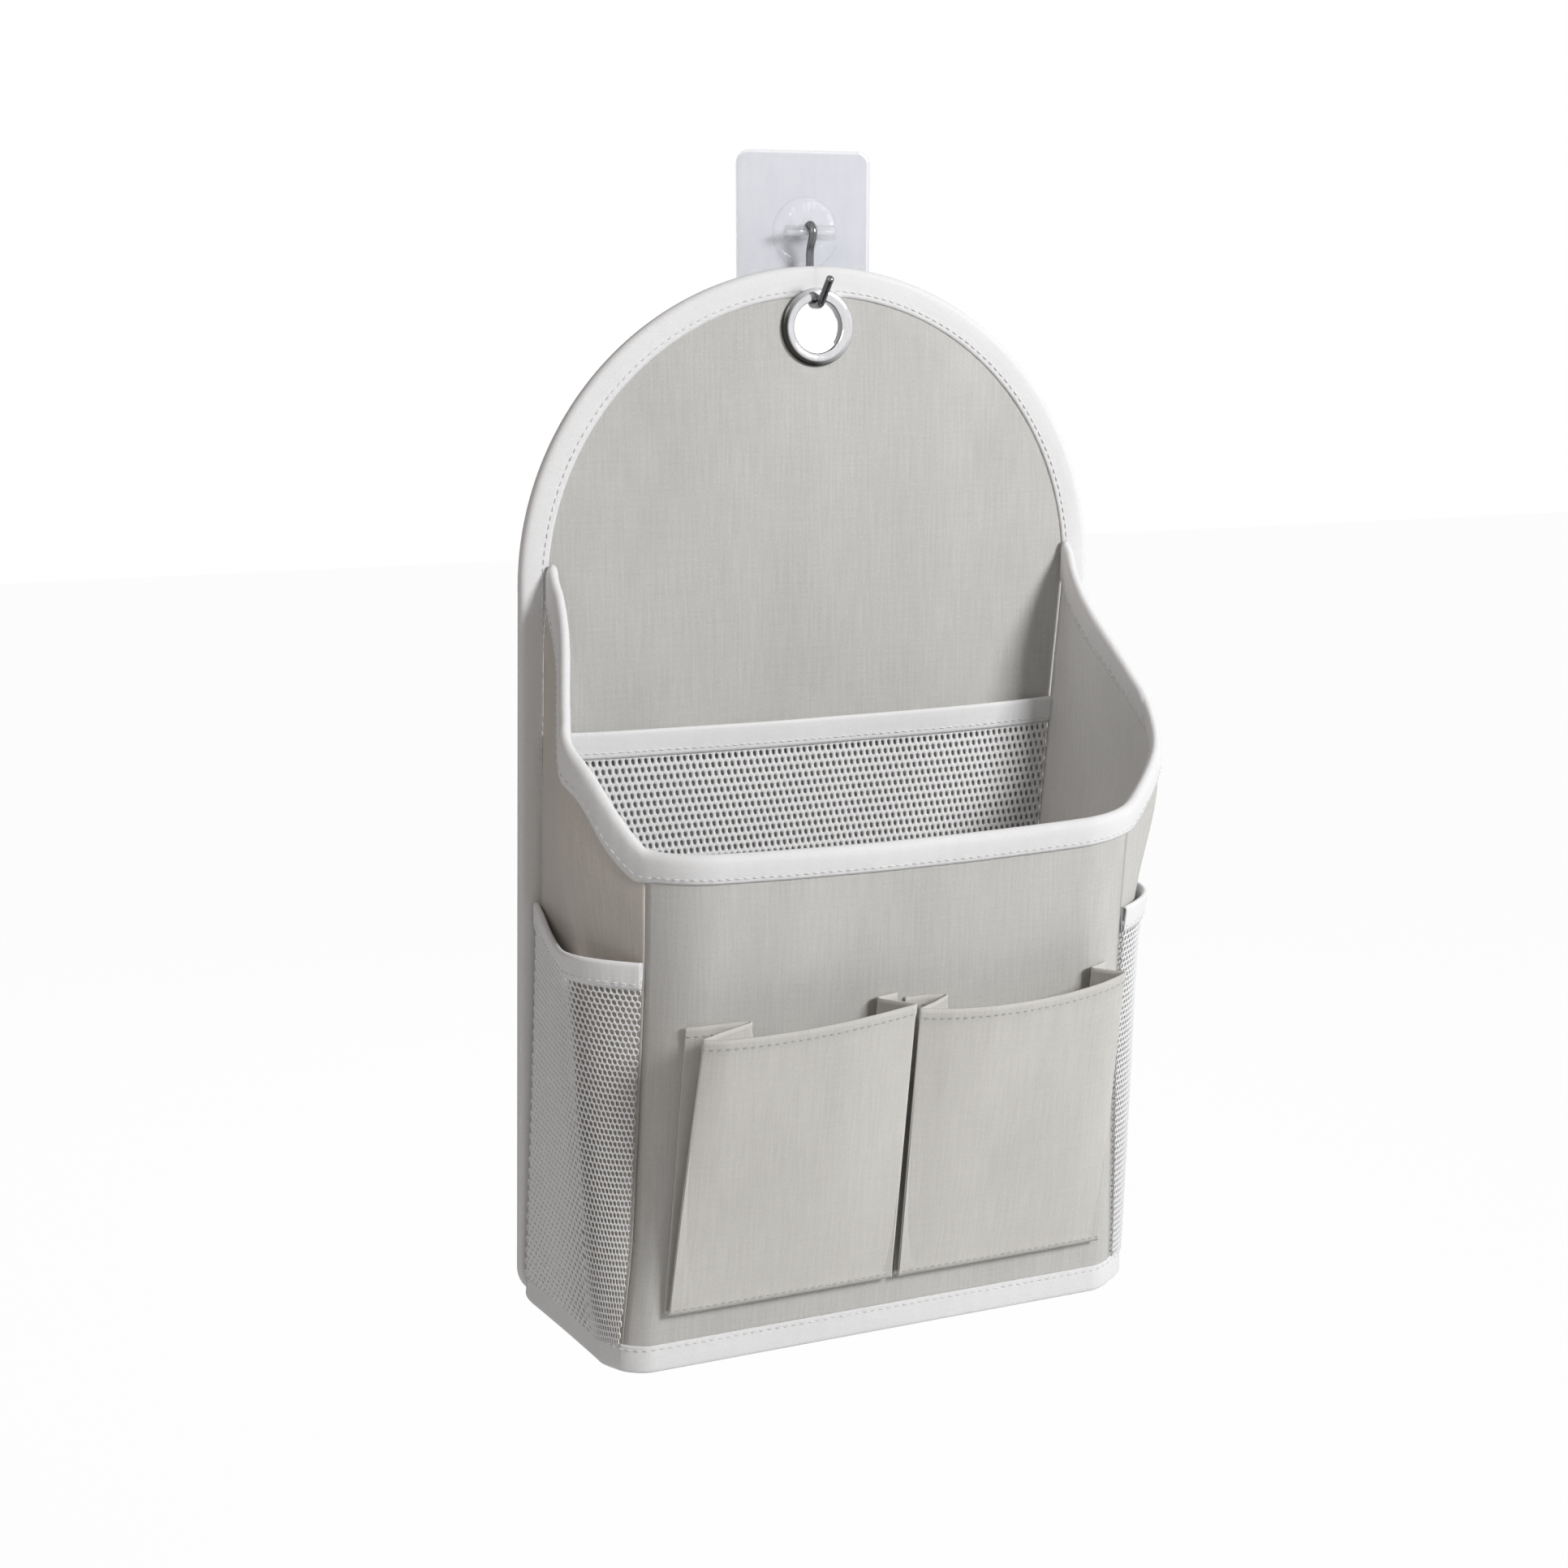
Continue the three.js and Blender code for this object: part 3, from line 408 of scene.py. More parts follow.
def cloth_finish(name, light, dark, threads, slub, rough, sheen, bump=0.25, depth=0.00012):
    """A woven material on the cloth UV map: colours and bump from the weave group, and a little sheen."""
    finish, tree = bare_material(name)
    lay = node(tree, "UVMap", uv_map="cloth").outputs[0]
    values = {"Place": lay, "Threads": threads, "Slub": slub, "Light": light, "Dark": dark}
    weave = node(tree, "Group", values, node_tree=LINEN).outputs
    relief = node(tree, "Bump", {"Height": weave["Height"], "Strength": bump, "Distance": depth})
    shader = node(tree, "BsdfPrincipled", {
        "Base Color": weave["Colour"], "Roughness": rough, "Normal": relief.outputs[0],
        "Sheen Weight": sheen, "Sheen Roughness": 0.6, "Specular IOR Level": 0.25})
    node(tree, "OutputMaterial", {"Surface": shader.outputs[0]})
    return finish


WOVEN = {"threads": 1900.0, "slub": 0.8, "rough": 0.92, "sheen": 0.05, "bump": 0.35, "depth": 0.00015}
LINED = {**WOVEN, "slub": 0.7, "rough": 0.93, "bump": 0.3}
TAPED = {**WOVEN, "threads": 1400.0, "slub": 0.35, "rough": 0.85, "bump": 0.4}
KNITTED = {"threads": 2600.0, "slub": 0.4, "rough": 0.75, "sheen": 0.08}
SEWN = {"threads": 5200.0, "slub": 0.5, "rough": 0.6, "sheen": 0.1}
linen = cloth_finish("grey_linen", rgb(201, 200, 197), rgb(179, 178, 175), **WOVEN)
# painted warm light: the left wall's copy of the linen is warmer
warm_lit_left_linen = cloth_finish("warm_lit_left_linen", rgb(205, 200, 193), rgb(183, 178, 171), **WOVEN)
# painted light: the pockets' copy of the linen is lighter, for faces that lean down away from the lamp
lit_pocket_linen = cloth_finish("lit_pocket_linen", rgb(209, 207, 203), rgb(190, 188, 184), **WOVEN)
# a lining the organizer has, made lighter than its cloth: painted fill light on the shaded inner walls
lining = cloth_finish("lining_lightened_for_fill", rgb(226, 226, 225), rgb(208, 208, 207), **LINED)
white_tape = cloth_finish("white_tape", rgb(233, 233, 234), rgb(218, 218, 219), **TAPED)
net_yarn = cloth_finish("net_yarn", rgb(238, 238, 239), rgb(216, 216, 217), **KNITTED)
white_thread = cloth_finish("white_thread", rgb(236, 236, 235), rgb(206, 206, 205), **SEWN)
grey_thread = cloth_finish("grey_thread", rgb(196, 196, 191), rgb(160, 160, 155), **SEWN)
cloths = (linen, warm_lit_left_linen, lit_pocket_linen, lining, white_tape, net_yarn, white_thread, grey_thread)
print("cloth finishes:", [finish.name for finish in cloths])

# %% [markdown]
# ## The body's outlines
# The side walls, the front, the tapes round rim and foot and the side nets all lie on one surface, so
# it is written once. Modelling it by hand would be quicker for one shape, but a formula lets every
# piece lie exactly on the same cloth. First come the lines that bound it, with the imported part's own
# widths and depths and the softer swell that the photograph shows. Heights go down from the top.

# %% The body's outlines
ARCH, SPLAY, HEIGHT = 118.8, 7.7, 397.5
RIM_BACK, RIM_FRONT = -108.0, -201.8
RIM_DEPTH, FOOT_DEPTH, RIM_LEVEL = 84, 74, -199.5
FRONT_HALF = 98.0
SEAM_INSET = 10.8


def panel_half(z):
    """Half width of the back panel: a half circle at the top, then sides that spread a little."""
    arch = np.sqrt(np.maximum(ARCH ** 2 - (z + ARCH) ** 2, 0))
    return np.where(z > -ARCH, arch, ARCH + SPLAY * (-ARCH - z) / (HEIGHT - ARCH))


def depth_at(z):
    """Depth of the front: a straight mix of its depth at the rim and at the foot."""
    return blend(RIM_DEPTH, FOOT_DEPTH, (RIM_LEVEL - z) / (HEIGHT + RIM_LEVEL))


def lower(z):
    """A smooth step from 0 just below the rim to 1 just above the foot, where the corners are squarer."""
    return ease((-215 - z) / 170)


def drawn_back(z):
    """How far the corner seams lie behind the front: least at the foot, most at half height."""
    return 4.6 + 5.6 * ease((z + HEIGHT) / 100) - 1.4 * ease((z + 260) / 50)


def front_half(z, right):
    """Half width of the front, which spreads towards the foot, most on the left and in its last 50 mm."""
    at_foot = 3.2 * ease((-345 - z) / 50)
    left_half = FRONT_HALF + 5.0 * lower(z) - 0.4 * (drawn_back(z) - 5) + at_foot
    return np.where(right, FRONT_HALF + lower(z), left_half)


def front_bow(x, z):
    """How far the front stands out: flat, then a parabola to each seam, 25 mm wide and 11 at the foot."""
    wide = 25 - 14 * lower(z - 10)
    near_seam = np.clip((np.abs(x) - front_half(z, x > 0)) / wide + 1, 0, 1.1)
    return 0.6 - drawn_back(z) * near_seam ** 2


def back_seam(z, right):
    """Half width where a wall meets the back: by the tape on the left, drawn in lower down on the right."""
    sewn = panel_half(z) - SEAM_INSET + 6 * np.maximum((RIM_BACK - z) / (HEIGHT + RIM_BACK), 0) ** 2
    left_shift = 2.0 * ease((RIM_BACK - z) / 30)
    right_shift = (2.0 - 13.0 * np.clip((-112 - z) / 110, 0, 1)) * ease((z + 392) / 60)
    return sewn + np.where(right, right_shift, left_shift)


print("width between the front's seams at the foot, mm:",
      round(float(front_half(-HEIGHT, False) + front_half(-HEIGHT, True)), 1))

# %% [markdown]
# ## The body's surface
# A run s goes from the left back seam (0) over the two front corners (1 and 2) to the right back seam
# (3), and with a height it names each point of the body's cloth. A wall is straight at first, and then
# a hyperbola rounds it into the front. Anything sewn on stands out along the surface's normal, so one
# function for that serves walls, tapes and nets.

# %% The body's surface
SIDE_X, SIDE_DEPTH, WALL_RUN = 112.0, 50.0, 91
SWELL_HEIGHT = -195
SEAM_DEPTH = 1.5
WALL = 1.8


def side_half(z, right):
    """Half width at the swollen side: a bell curve about one height, drawn in below it on the right."""
    reach = np.where(z < SWELL_HEIGHT, 40.0, np.where(right, 50.0, 58.0))
    swell = np.where(right, 11.9, 9.0) * np.exp(-((z - SWELL_HEIGHT) / reach) ** 2)
    return SIDE_X + swell - np.where(right, 3.6, 0.0) * lower(z) ** 2


def pulled_in(u, z):
    """How far the rim's tape pulls a wall in: a bell curve along the wall that dies out further down."""
    below = np.maximum(blend(RIM_BACK, RIM_FRONT, u) - z, 0)
    return 2.3 * np.exp(-((u - 0.2) / 0.17) ** 2 - (below / 26) ** 2) * ease(u / 0.1)


def wall_line(u, z, right):
    """A wall in plan: straight from the back seam to the swollen side, then a hyperbola to the front."""
    share, soft = SIDE_DEPTH / WALL_RUN, np.where(right, 3.0, 0.4)
    straight, corner = u / share, np.clip((u - share) / (1 - share), 0, 1)
    inward = (np.hypot(corner, soft) - soft) / (np.hypot(1, soft) - soft)
    side_x, side_y = side_half(z, right), SIDE_DEPTH + 10 * lower(z)
    edge_x = front_half(z, right)
    edge_y = depth_at(z) + front_bow(np.where(right, edge_x, -edge_x), z)
    rear = u <= share
    x = np.where(rear, blend(back_seam(z, right), side_x, straight), blend(side_x, edge_x, inward))
    y = np.where(rear, blend(-SEAM_DEPTH, -side_y, straight), -blend(side_y, edge_y, corner))
    return x - pulled_in(u, z), y


def foot_sag(y):
    """How far the foot hangs lower towards the front, as the square of the depth."""
    return 2.0 * (y / FOOT_DEPTH) ** 2


def body_skin(s, z):
    """The body's outer surface at run s and height z: left wall, front, right wall, and a sagging foot."""
    s, z = np.broadcast_arrays(np.asarray(s, float), np.asarray(z, float))
    left_x, left_y = wall_line(np.clip(s, 0, 1), z, np.zeros_like(s, bool))
    right_x, right_y = wall_line(np.clip(3 - s, 0, 1), z, np.ones_like(s, bool))
    front = blend(-front_half(z, False), front_half(z, True), np.clip(s - 1, 0, 1))
    x = np.where(s < 1, -left_x, np.where(s > 2, right_x, front))
    y = np.where(s < 1, left_y, np.where(s > 2, right_y, -depth_at(z) - front_bow(front, z)))
    return np.stack([x, y, z - foot_sag(y) * ease((-330 - z) / 67)], -1)


def body_point(s, z, out):
    """A point that stands out from the body's surface along its normal, the cross product of its slopes."""
    step_s, step_z = 0.012, 0.5
    along = body_skin(s + step_s, z) - body_skin(s - step_s, z)
    down = body_skin(s, z - step_z) - body_skin(s, z + step_z)
    return body_skin(s, z) + unit(np.cross(down, along)) * np.asarray(out)[..., None]


def rim_height(s):
    """The rim slopes down each wall, fuller on the left and hollower on the right, and sags in front."""
    u = np.minimum(s, 3 - s)
    rise = (1 - u + np.sqrt((1 - u) ** 2 + 0.02 ** 2)) / 2
    fuller = 5.0 * np.exp(-((u - 0.76) / 0.13) ** 2)
    hollower = -6.0 * np.exp(-((u - 0.66) / 0.15) ** 2)
    sag = 2.4 * np.maximum(1 - (2 * s - 3) ** 2, 0)
    return blend(RIM_FRONT, RIM_BACK, np.minimum(rise, 1)) + np.where(s < 1.5, fuller, hollower) - sag


print("skin at the left corner's rim:", np.round(body_skin(1.0, RIM_FRONT), 1))

# %% [markdown]
# ## Side walls, front and lining
# On the real organizer these are cut flat and sewn at the corners. A cloth simulation could sag them,
# but linings, and a board in the front, keep them smooth. So each is a grid on the body's surface with
# a faint, slow ripple, and Solidify gives it the thickness of its layers.

# %% Side walls, front and lining
UNDER_RIM, ABOVE_FOOT = 1.4, 0.4
BACK_GAP, CORNER_GAP = 0.006, 0.0005
WALL_CLOTH, WALL_LINING, FRONT_CLOTH, FRONT_LINING = 1.3, 0.4, 1.0, 0.6


def ripple(a, b, size):
    """A slow uneven wave over two lengths in millimetres, from three sines of unlike pitch."""
    return size * (np.sin(a / 17.0 + b / 41.0) + 0.7 * np.sin(b / 23.0 - a / 37.0 + 1.3)
                   + 0.5 * np.sin((a + b) / 11.0 + 0.6)) / 2.2


def wall_grid(start, end, columns, rows, top_gap=UNDER_RIM, inside=0.0, bumpy=0.35):
    """A stretch of the body's surface from under the rim to the foot."""
    s = np.linspace(start, end, columns)[None, :]
    top = rim_height(s) - top_gap
    z = blend(top, -HEIGHT + ABOVE_FOOT, np.linspace(0, 1, rows)[:, None])
    fade = ease((top - z) / 25) * ease((z + HEIGHT) / 25)
    return body_point(s + 0 * z, z, -inside + fade * ripple(s * 95, z, bumpy))


for side, start, end, facing, cloth in (("left", BACK_GAP, 1 - CORNER_GAP, (-1, 0, 0), warm_lit_left_linen),
                                        ("right", 2 + CORNER_GAP, 3 - BACK_GAP, (1, 0, 0), linen)):
    grid = wall_grid(start, end, columns=70, rows=90)
    wall = sheet_piece(side + "_wall_cloth", grid, WALL_CLOTH, cloth, side + "_side_wall", facing)
    grid = wall_grid(start, end, columns=50, rows=60, inside=WALL - WALL_LINING)
    cover = sheet_piece(side + "_wall_lining", grid, WALL_LINING, lining, facing=facing)
grid = wall_grid(1 + CORNER_GAP, 2 - CORNER_GAP, columns=110, rows=80)
front = sheet_piece("front_cloth", grid, FRONT_CLOTH, linen, "front_panel", (0, -1, 0))
grid = wall_grid(1.02, 1.98, columns=60, rows=50, top_gap=1.6, inside=3.6, bumpy=0.2)
inner = sheet_piece("front_lining_cloth", grid, FRONT_LINING, lining, "front_lining", (0, 1, 0))
print("walls, front and lining made")

# %% [markdown]
# ## Back panel
# The arched back is a front and a rear cloth over a board, and both have a round hole for the eyelet.
# A hole could be cut with a Boolean, but that leaves ragged faces. Instead the grid runs from the hole
# to the panel's edge: each row is a straight line from the hole's rim to a point of the outline.

# %% Back panel
EYE = np.array([0.0, -22.0])
CLOTH_HOLE, FOOT_CORNER = 11.2, 12
BACK_THICK, BACK_CLOTH = 2.7, 0.5


def back_outline(count):
    """The panel's edge, evenly spaced: half circle, spread sides and rounded foot corners."""
    turn = np.linspace(math.pi / 2, 0, 120)
    arch = np.stack([ARCH * np.cos(turn), -ARCH + ARCH * np.sin(turn)], 1)
    foot = -HEIGHT + FOOT_CORNER
    centre = float(panel_half(np.array(foot))) - FOOT_CORNER
    turn = np.linspace(0, -math.pi / 2, 40)
    corner = np.stack([centre + FOOT_CORNER * np.cos(turn), foot + FOOT_CORNER * np.sin(turn)], 1)
    half = np.vstack([arch, corner, [[0, -HEIGHT]]])
    return even(np.vstack([half, half[-2:0:-1] * [-1, 1]]), count, closed=True)


def back_cloth(face_y, toward):
    """Lines from the eyelet's hole to the outline, with a slow ripple that dies out at both ends."""
    edge = back_outline(420)[:, None] * [0.994, 1]
    hole = EYE + unit(edge - EYE) * CLOTH_HOLE
    flat = blend(hole, edge, np.linspace(0, 1, 70)[:, None] ** 0.9)
    x, z = flat[..., 0], flat[..., 1]
    lift = 0.4 + ripple(x * 0.6, z * 0.5, 0.4)
    from_edge = np.linalg.norm(edge - flat, axis=2)
    from_hole = np.linalg.norm(flat - EYE, axis=2)
    y = face_y + toward * lift * ease((from_edge - 11) / 30) * ease((from_hole - 16) / 25)
    return np.stack([x, y, z], -1)


for name, stands_for, face_y, toward in (("back_front_cloth", "back_front_fabric", 0.0, -1),
                                         ("back_rear_cloth", "back_rear_fabric", BACK_THICK, 1)):
    grid = back_cloth(face_y, toward)
    uv = grid.reshape(-1, 3)[:, [0, 2]] / MM
    piece = sheet_piece(name, grid, BACK_CLOTH, linen, stands_for, (0, toward, 0), True, uv)
print("back panel made, outline", round(float(run_length(back_outline(400))[-1])), "mm")

# %% [markdown]
# ## Binding tapes
# White woven tape is folded over every raw edge. A curve with a bevel could follow an edge, but it turns
# its section freely. Here a profile of two numbers, how far in from the edge and how far out from the
# cloth, is carried along each edge, with small puckers where the needle pulled the tape in.

# %% Tape profile
TAPE_FACE, TAPE_CLOTH = 10.5, 0.45


def fold_profile(width, swell, thick, lip, steps=9):
    """How far in and out a folded tape lies: a face that swells from its hem, a half ellipse, a rear face."""
    share = np.linspace(0, 1, steps)
    bulge = swell * blend(0.35, 1.0, np.sin(share * math.pi / 2))
    face = np.stack([blend(width, lip, share), bulge], 1)
    turn = np.linspace(0, math.pi, 13)[1:-1]
    crown = np.stack([lip - 1.3 * lip * np.sin(turn), -thick / 2 + (swell + thick / 2) * np.cos(turn)], 1)
    return np.vstack([face, crown, (face * [1, -1] - [0, thick])[::-1]])


def pucker(run, inset, width):
    """A tiny uneven wave along a tape, three sines, strongest near its row of stitches."""
    run, inset = run[:, None], inset[None, :]
    wave = np.sin(run * 1.9) + 0.6 * np.sin(run * 0.71 + 1.0) + 0.5 * np.sin(run * 0.173 + 2.0)
    return 0.09 * wave * (0.4 + 0.6 * np.exp(-((inset - width + 1.8) / 2.0) ** 2))


print("points of a folded profile:", len(fold_profile(TAPE_FACE, swell=1.0, thick=BACK_THICK, lip=1.9)))

# %% [markdown]
# ## Tape round the back panel
# One tape runs round the whole edge of the back and is closed on itself. An Array along a curve could
# repeat a short length of it, but that would stretch at the corners. Each point of the outline gets
# the whole profile, set square to the edge.


# %% Tape round the back panel
def fold_round_back():
    """The folded profile carried round the outline: insets go square to the edge, and out goes along Y."""
    inset, out = fold_profile(TAPE_FACE, swell=1.0, thick=BACK_THICK, lip=1.9).T
    line = back_outline(640)
    run = run_length(line)
    along = unit(np.roll(line, -1, 0) - np.roll(line, 1, 0))
    inward = np.stack([along[:, 1], -along[:, 0]], 1)
    place = line[:, None, :] + inward[:, None, :] * inset[None, :, None]
    wave = pucker(run, inset, TAPE_FACE) * np.sign(out + BACK_THICK / 2)
    return np.stack([place[..., 0], -(out + wave), place[..., 1]], -1)


back_grid = fold_round_back()
back_tape = sheet_piece("back_edge_tape", back_grid, TAPE_CLOTH, white_tape, "back_binding",
                        loop_rows=True)
print("back tape made:", back_grid.shape)

# %% [markdown]
# ## Tapes along the rim and round the foot
# The rim's tape slopes down a wall, crosses the front and climbs the other wall, so its width is
# measured square to the edge, not straight down. The foot's tape goes up the walls on the outside and
# in under the base. Both follow the body's surface, which a Shrinkwrap could only do roughly.

# %% Tapes along the rim and round the foot
RIM_TAPE_FACE = 10.1


def body_run(count, start=0.004, end=2.996):
    """Values of s spaced evenly by length along the rim."""
    s = np.linspace(start, end, 1500)
    run = run_length(body_skin(s, rim_height(s)))
    return np.interp(np.linspace(0, run[-1], count), run, s)


def fold_along_rim():
    """The profile carried along the rim, its insets times the root of one plus the slope squared."""
    inset, out = fold_profile(RIM_TAPE_FACE, swell=1.4, thick=WALL, lip=2.4).T
    s = body_run(300)
    rim = rim_height(s)
    line = body_skin(s, rim)
    flat_step = np.linalg.norm(np.gradient(line, axis=0)[:, :2], axis=1)
    slope = np.gradient(line[:, 2]) / np.maximum(flat_step, 1e-6)
    stretch = np.sqrt(1 + running_mean(slope, 7) ** 2)
    z = rim[:, None] - inset * stretch[:, None]
    z = np.maximum(z, np.minimum(rim, RIM_FRONT)[:, None] - inset)
    fold_middle = 1.5
    wave = pucker(run_length(line), inset, TAPE_FACE) * np.sign(out + fold_middle)
    return body_point(s[:, None] + 0 * z, z, out + wave)


def fold_round_foot():
    """A band round the foot: a face up the walls, a quarter ellipse and a sole, with ends that curl up."""
    lip, under = 1.2, 0.7
    share = np.linspace(0, 1, 12)
    face = np.stack([blend(TAPE_FACE, lip, share), blend(0.45, 1.0, np.sin(share * math.pi / 2))], 1)
    turn = np.linspace(0, math.pi / 2, 8)[1:]
    bend = np.stack([lip - (lip + under) * np.sin(turn), -0.8 + 1.8 * np.cos(turn)], 1)
    sole = np.stack([np.full(6, -under), np.linspace(-1.8, -7.0, 6)], 1)
    rise, out = np.vstack([face, bend, sole]).T
    s = body_run(280)
    wave = pucker(run_length(body_skin(s, -HEIGHT + 0 * s)), rise, TAPE_FACE) * (rise > 0.5)
    from_end = np.minimum(s, 3 - s)[:, None] * WALL_RUN
    curl = 4 * (1 - np.sqrt(1 - (1 - np.clip(from_end / 8, 0, 1)) ** 2))
    z = -HEIGHT + np.maximum(rise, curl * (1 + rise * 0.02) - under)
    return body_point(s[:, None] + 0 * z, z, out + wave)


rim_grid, foot_grid = fold_along_rim(), fold_round_foot()
rim_tape = sheet_piece("rim_tape", rim_grid, TAPE_CLOTH, white_tape, "rim_binding")
foot_tape = sheet_piece("foot_tape", foot_grid, TAPE_CLOTH, white_tape, "base_binding")
print("rim and foot tapes made:", rim_grid.shape, foot_grid.shape)

# %% [markdown]
# ## Base
# The foot is a flat cloth under a board, in the outline of the walls. A single face with many corners
# would fill that outline, but it can't sag. So for each place across the width the grid runs from the
# back edge to the depth that the outline has there, and sags with the foot of the walls.

# %% Base
BASE_CLOTH, BASE_SIDE_GAP, BASE_BACK, LEAST_DEPTH = 0.6, 0.2, -1.6, -2.0


def base_grid(z, inside):
    """Columns across the width, close together at its ends, and rows from the back edge to the outline."""
    s = np.linspace(0.0, 3.0, 900)
    outline = body_point(s, np.full_like(s, z), np.full_like(s, -inside))
    outline = outline[np.argsort(outline[:, 0])]
    first, last = outline[0, 0] + BASE_SIDE_GAP, outline[-1, 0] - BASE_SIDE_GAP
    turn = np.linspace(-math.pi / 2, math.pi / 2, 121)
    x = blend(first, last, (np.sin(turn) + 1) / 2)
    front_y = np.interp(x, outline[:, 0], outline[:, 1])
    y = blend(BASE_BACK, np.minimum(front_y, LEAST_DEPTH), np.linspace(0, 1, 40)[:, None])
    return np.stack([x + 0 * y, y, z - foot_sag(y)], -1)


grid = base_grid(-HEIGHT + BASE_CLOTH, inside=0.8)
base = sheet_piece("base_cloth", grid, BASE_CLOTH, linen, "base_panel", (0, 0, -1))
print("base cloth", round(flat_area(grid) * 1e4), "square cm")

# %% [markdown]
# ## Nets
# The net pockets are a knitted mesh of slots in staggered rows. A transparent texture would be lighter,
# but real holes catch light and show what lies behind. Each slot is six corners of a stretched
# honeycomb cell round six corners of its hole, and the cells share their corners.


# %% Net lattice
def net_lattice(width, height, across=2.6, down=3.4, hole=(1.35, 2.7), slack=1.0):
    """Flat points and faces of a honeycomb of cells, each a ring of six four-sided faces round its slot.

    Slots are slack times their size at the start of the width and full size past two thirds of it."""
    column, row = np.meshgrid(np.arange(int(width / across) + 2), np.arange(int(height / down) + 2))
    x6 = 6 * column + 3 * (row % 2) + 3
    z6 = 6 * row + 4
    keep = ((x6 + 3) * across / 6 <= width) & ((z6 + 4) * down / 6 <= height)
    centre, sixth = np.stack([x6[keep], z6[keep]], 1), [across / 6, down / 6]
    corner = np.array([[0, 4], [3, 2], [3, -2], [0, -4], [-3, -2], [-3, 2]])
    outer = (centre[:, None, :] + corner[None]).reshape(-1, 2)
    shared, index = np.unique(outer, axis=0, return_inverse=True)
    rim = corner / [3, 4] * [hole[0] / 2, hole[1] / 2]
    rim = rim + rim[:, ::-1] * [0.22, 0]
    drawn = blend(slack, 1.0, ease((centre[:, 0] * across / 6 / width - 0.25) / 0.45))
    inner = centre[:, None, :] * sixth + rim[None] * drawn[:, None, None]
    points = np.vstack([shared * sixth, inner.reshape(-1, 2)])
    ring = index.reshape(-1, 6)
    core = len(shared) + np.arange(len(centre) * 6).reshape(-1, 6)
    faces = np.stack([ring, np.roll(ring, -1, 1), np.roll(core, -1, 1), core], -1).reshape(-1, 4)
    return points, faces


def net_piece(name, points, faces, flat, facing, stands_for, yarn):
    """A net from placed points, thickened to its yarn, with the solid it stands for hidden."""
    piece = make_piece(name, points + HANG, faces, net_yarn, facing=facing, uv=flat / MM)
    thicken(piece, yarn, offset=0.0)
    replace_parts(piece, stands_for)


print("slots in 10 by 10 mm of net:", len(net_lattice(10, 10)[1]) // 6)

# %% [markdown]
# ## Inner net
# The inner net hangs in front of the back panel, between the walls, and reaches down to the base. It is
# pulled taut, so a simulation would change little: it stands a few millimetres off the panel, comes
# closer to it at both ends and sags a little at its mouth.

# %% Inner net
NET_TOP, NET_FLOOR, NET_START, NET_SIDE_GAP = -171.0, -394.0, 3, 0.8


def inner_ends(z):
    """Where the inner net ends at the left and the right, at the inner faces of the walls."""
    by_seam = np.full_like(z, 0.06)
    left, _ = wall_line(by_seam, z, np.zeros_like(z, bool))
    right, _ = wall_line(by_seam, z, np.ones_like(z, bool))
    return -(left - WALL - NET_SIDE_GAP), right - WALL - NET_SIDE_GAP


def inner_net_point(across, z, stand=0.0):
    """The inner net stands off the back panel, less at its two ends; across runs from -1 to 1."""
    left, right = inner_ends(z)
    y = -5.6 + 2.6 * np.abs(across) ** 8 - stand + 0.25 * np.sin(across * 9)
    sag = 1.2 * (1 - across ** 2) * ease((z + 240) / 70)
    return np.stack([blend(left, right, (across + 1) / 2), y, z - sag], -1)


left_end, right_end = inner_ends(np.array(NET_TOP))
inner_width = float(right_end - left_end)
flat, faces = net_lattice(inner_width, NET_TOP - NET_START - NET_FLOOR)
points = inner_net_point(flat[:, 0] / flat[:, 0].max() * 2 - 1, NET_TOP - NET_START - flat[:, 1])
net_piece("inner_net_mesh", points, faces, flat, (0, -1, 0), "inner_net", yarn=0.5)
print("inner net:", len(faces) // 6, "slots")

# %% [markdown]
# ## Side nets
# A net pocket covers the lower half of each side wall, from the back seam to the front corner. It
# swells a little off the wall towards its mouth, more on the left than on the right. Its slots are as
# wide as they are high, and only half that size by the back seam, where the net is slack.

# %% Side nets
SIDE_NET_TOP, SIDE_NET_FOOT = -238.5, -388.0
SIDE_NET_START = 0.008


def side_net_rise(z):
    """0 at the foot of a side net and 1 at its mouth."""
    return np.clip((z - SIDE_NET_FOOT) / (SIDE_NET_TOP - SIDE_NET_FOOT), 0, 1)


def side_net_out(u, z, right):
    """How far a side net stands off its wall: a gap, and a swell that is fullest past the wall's middle."""
    swell = np.where(right, 2.8, 5.2) * side_net_rise(z) ** np.where(right, 0.9, 0.35)
    return np.where(right, 1.0, 1.8) + swell * np.sin(math.pi * u ** 1.3)


def side_net_point(u, z, right, stand=0.0):
    """A point of a side net: u goes from the back seam to the front, and the top slopes down that way."""
    slope = (2.5 - 6.0 * u) * side_net_rise(z)
    return body_point(3 - u if right else u, z + slope, side_net_out(u, z, right) + stand)


for side, right in (("left", False), ("right", True)):
    flat, faces = net_lattice(95.0, SIDE_NET_TOP - NET_START - SIDE_NET_FOOT, across=3.0, down=2.3,
                              hole=(2.25, 2.25), slack=0.5)
    z = SIDE_NET_TOP - NET_START - flat[:, 1]
    front_edge = blend(0.998, 0.988, np.clip((SIDE_NET_TOP - z) / 150, 0, 1))
    points = side_net_point(blend(SIDE_NET_START, front_edge, flat[:, 0] / flat[:, 0].max()), z, right)
    facing = (1 if right else -1, 0, 0)
    net_piece(side + "_net_mesh", points, faces, flat, facing, side + "_side_net", yarn=0.7)
print("side nets:", len(faces) // 6, "slots each")

# %% [markdown]
# ## Net tapes
# The mouth of each net is bound with the same white tape. The folded profile is carried along the
# net's own formula, so tape and net can't part, whatever swell the net is given.

# %% Net tapes
NET_TAPE_FACE, NET_THICK = 10.2, 0.7


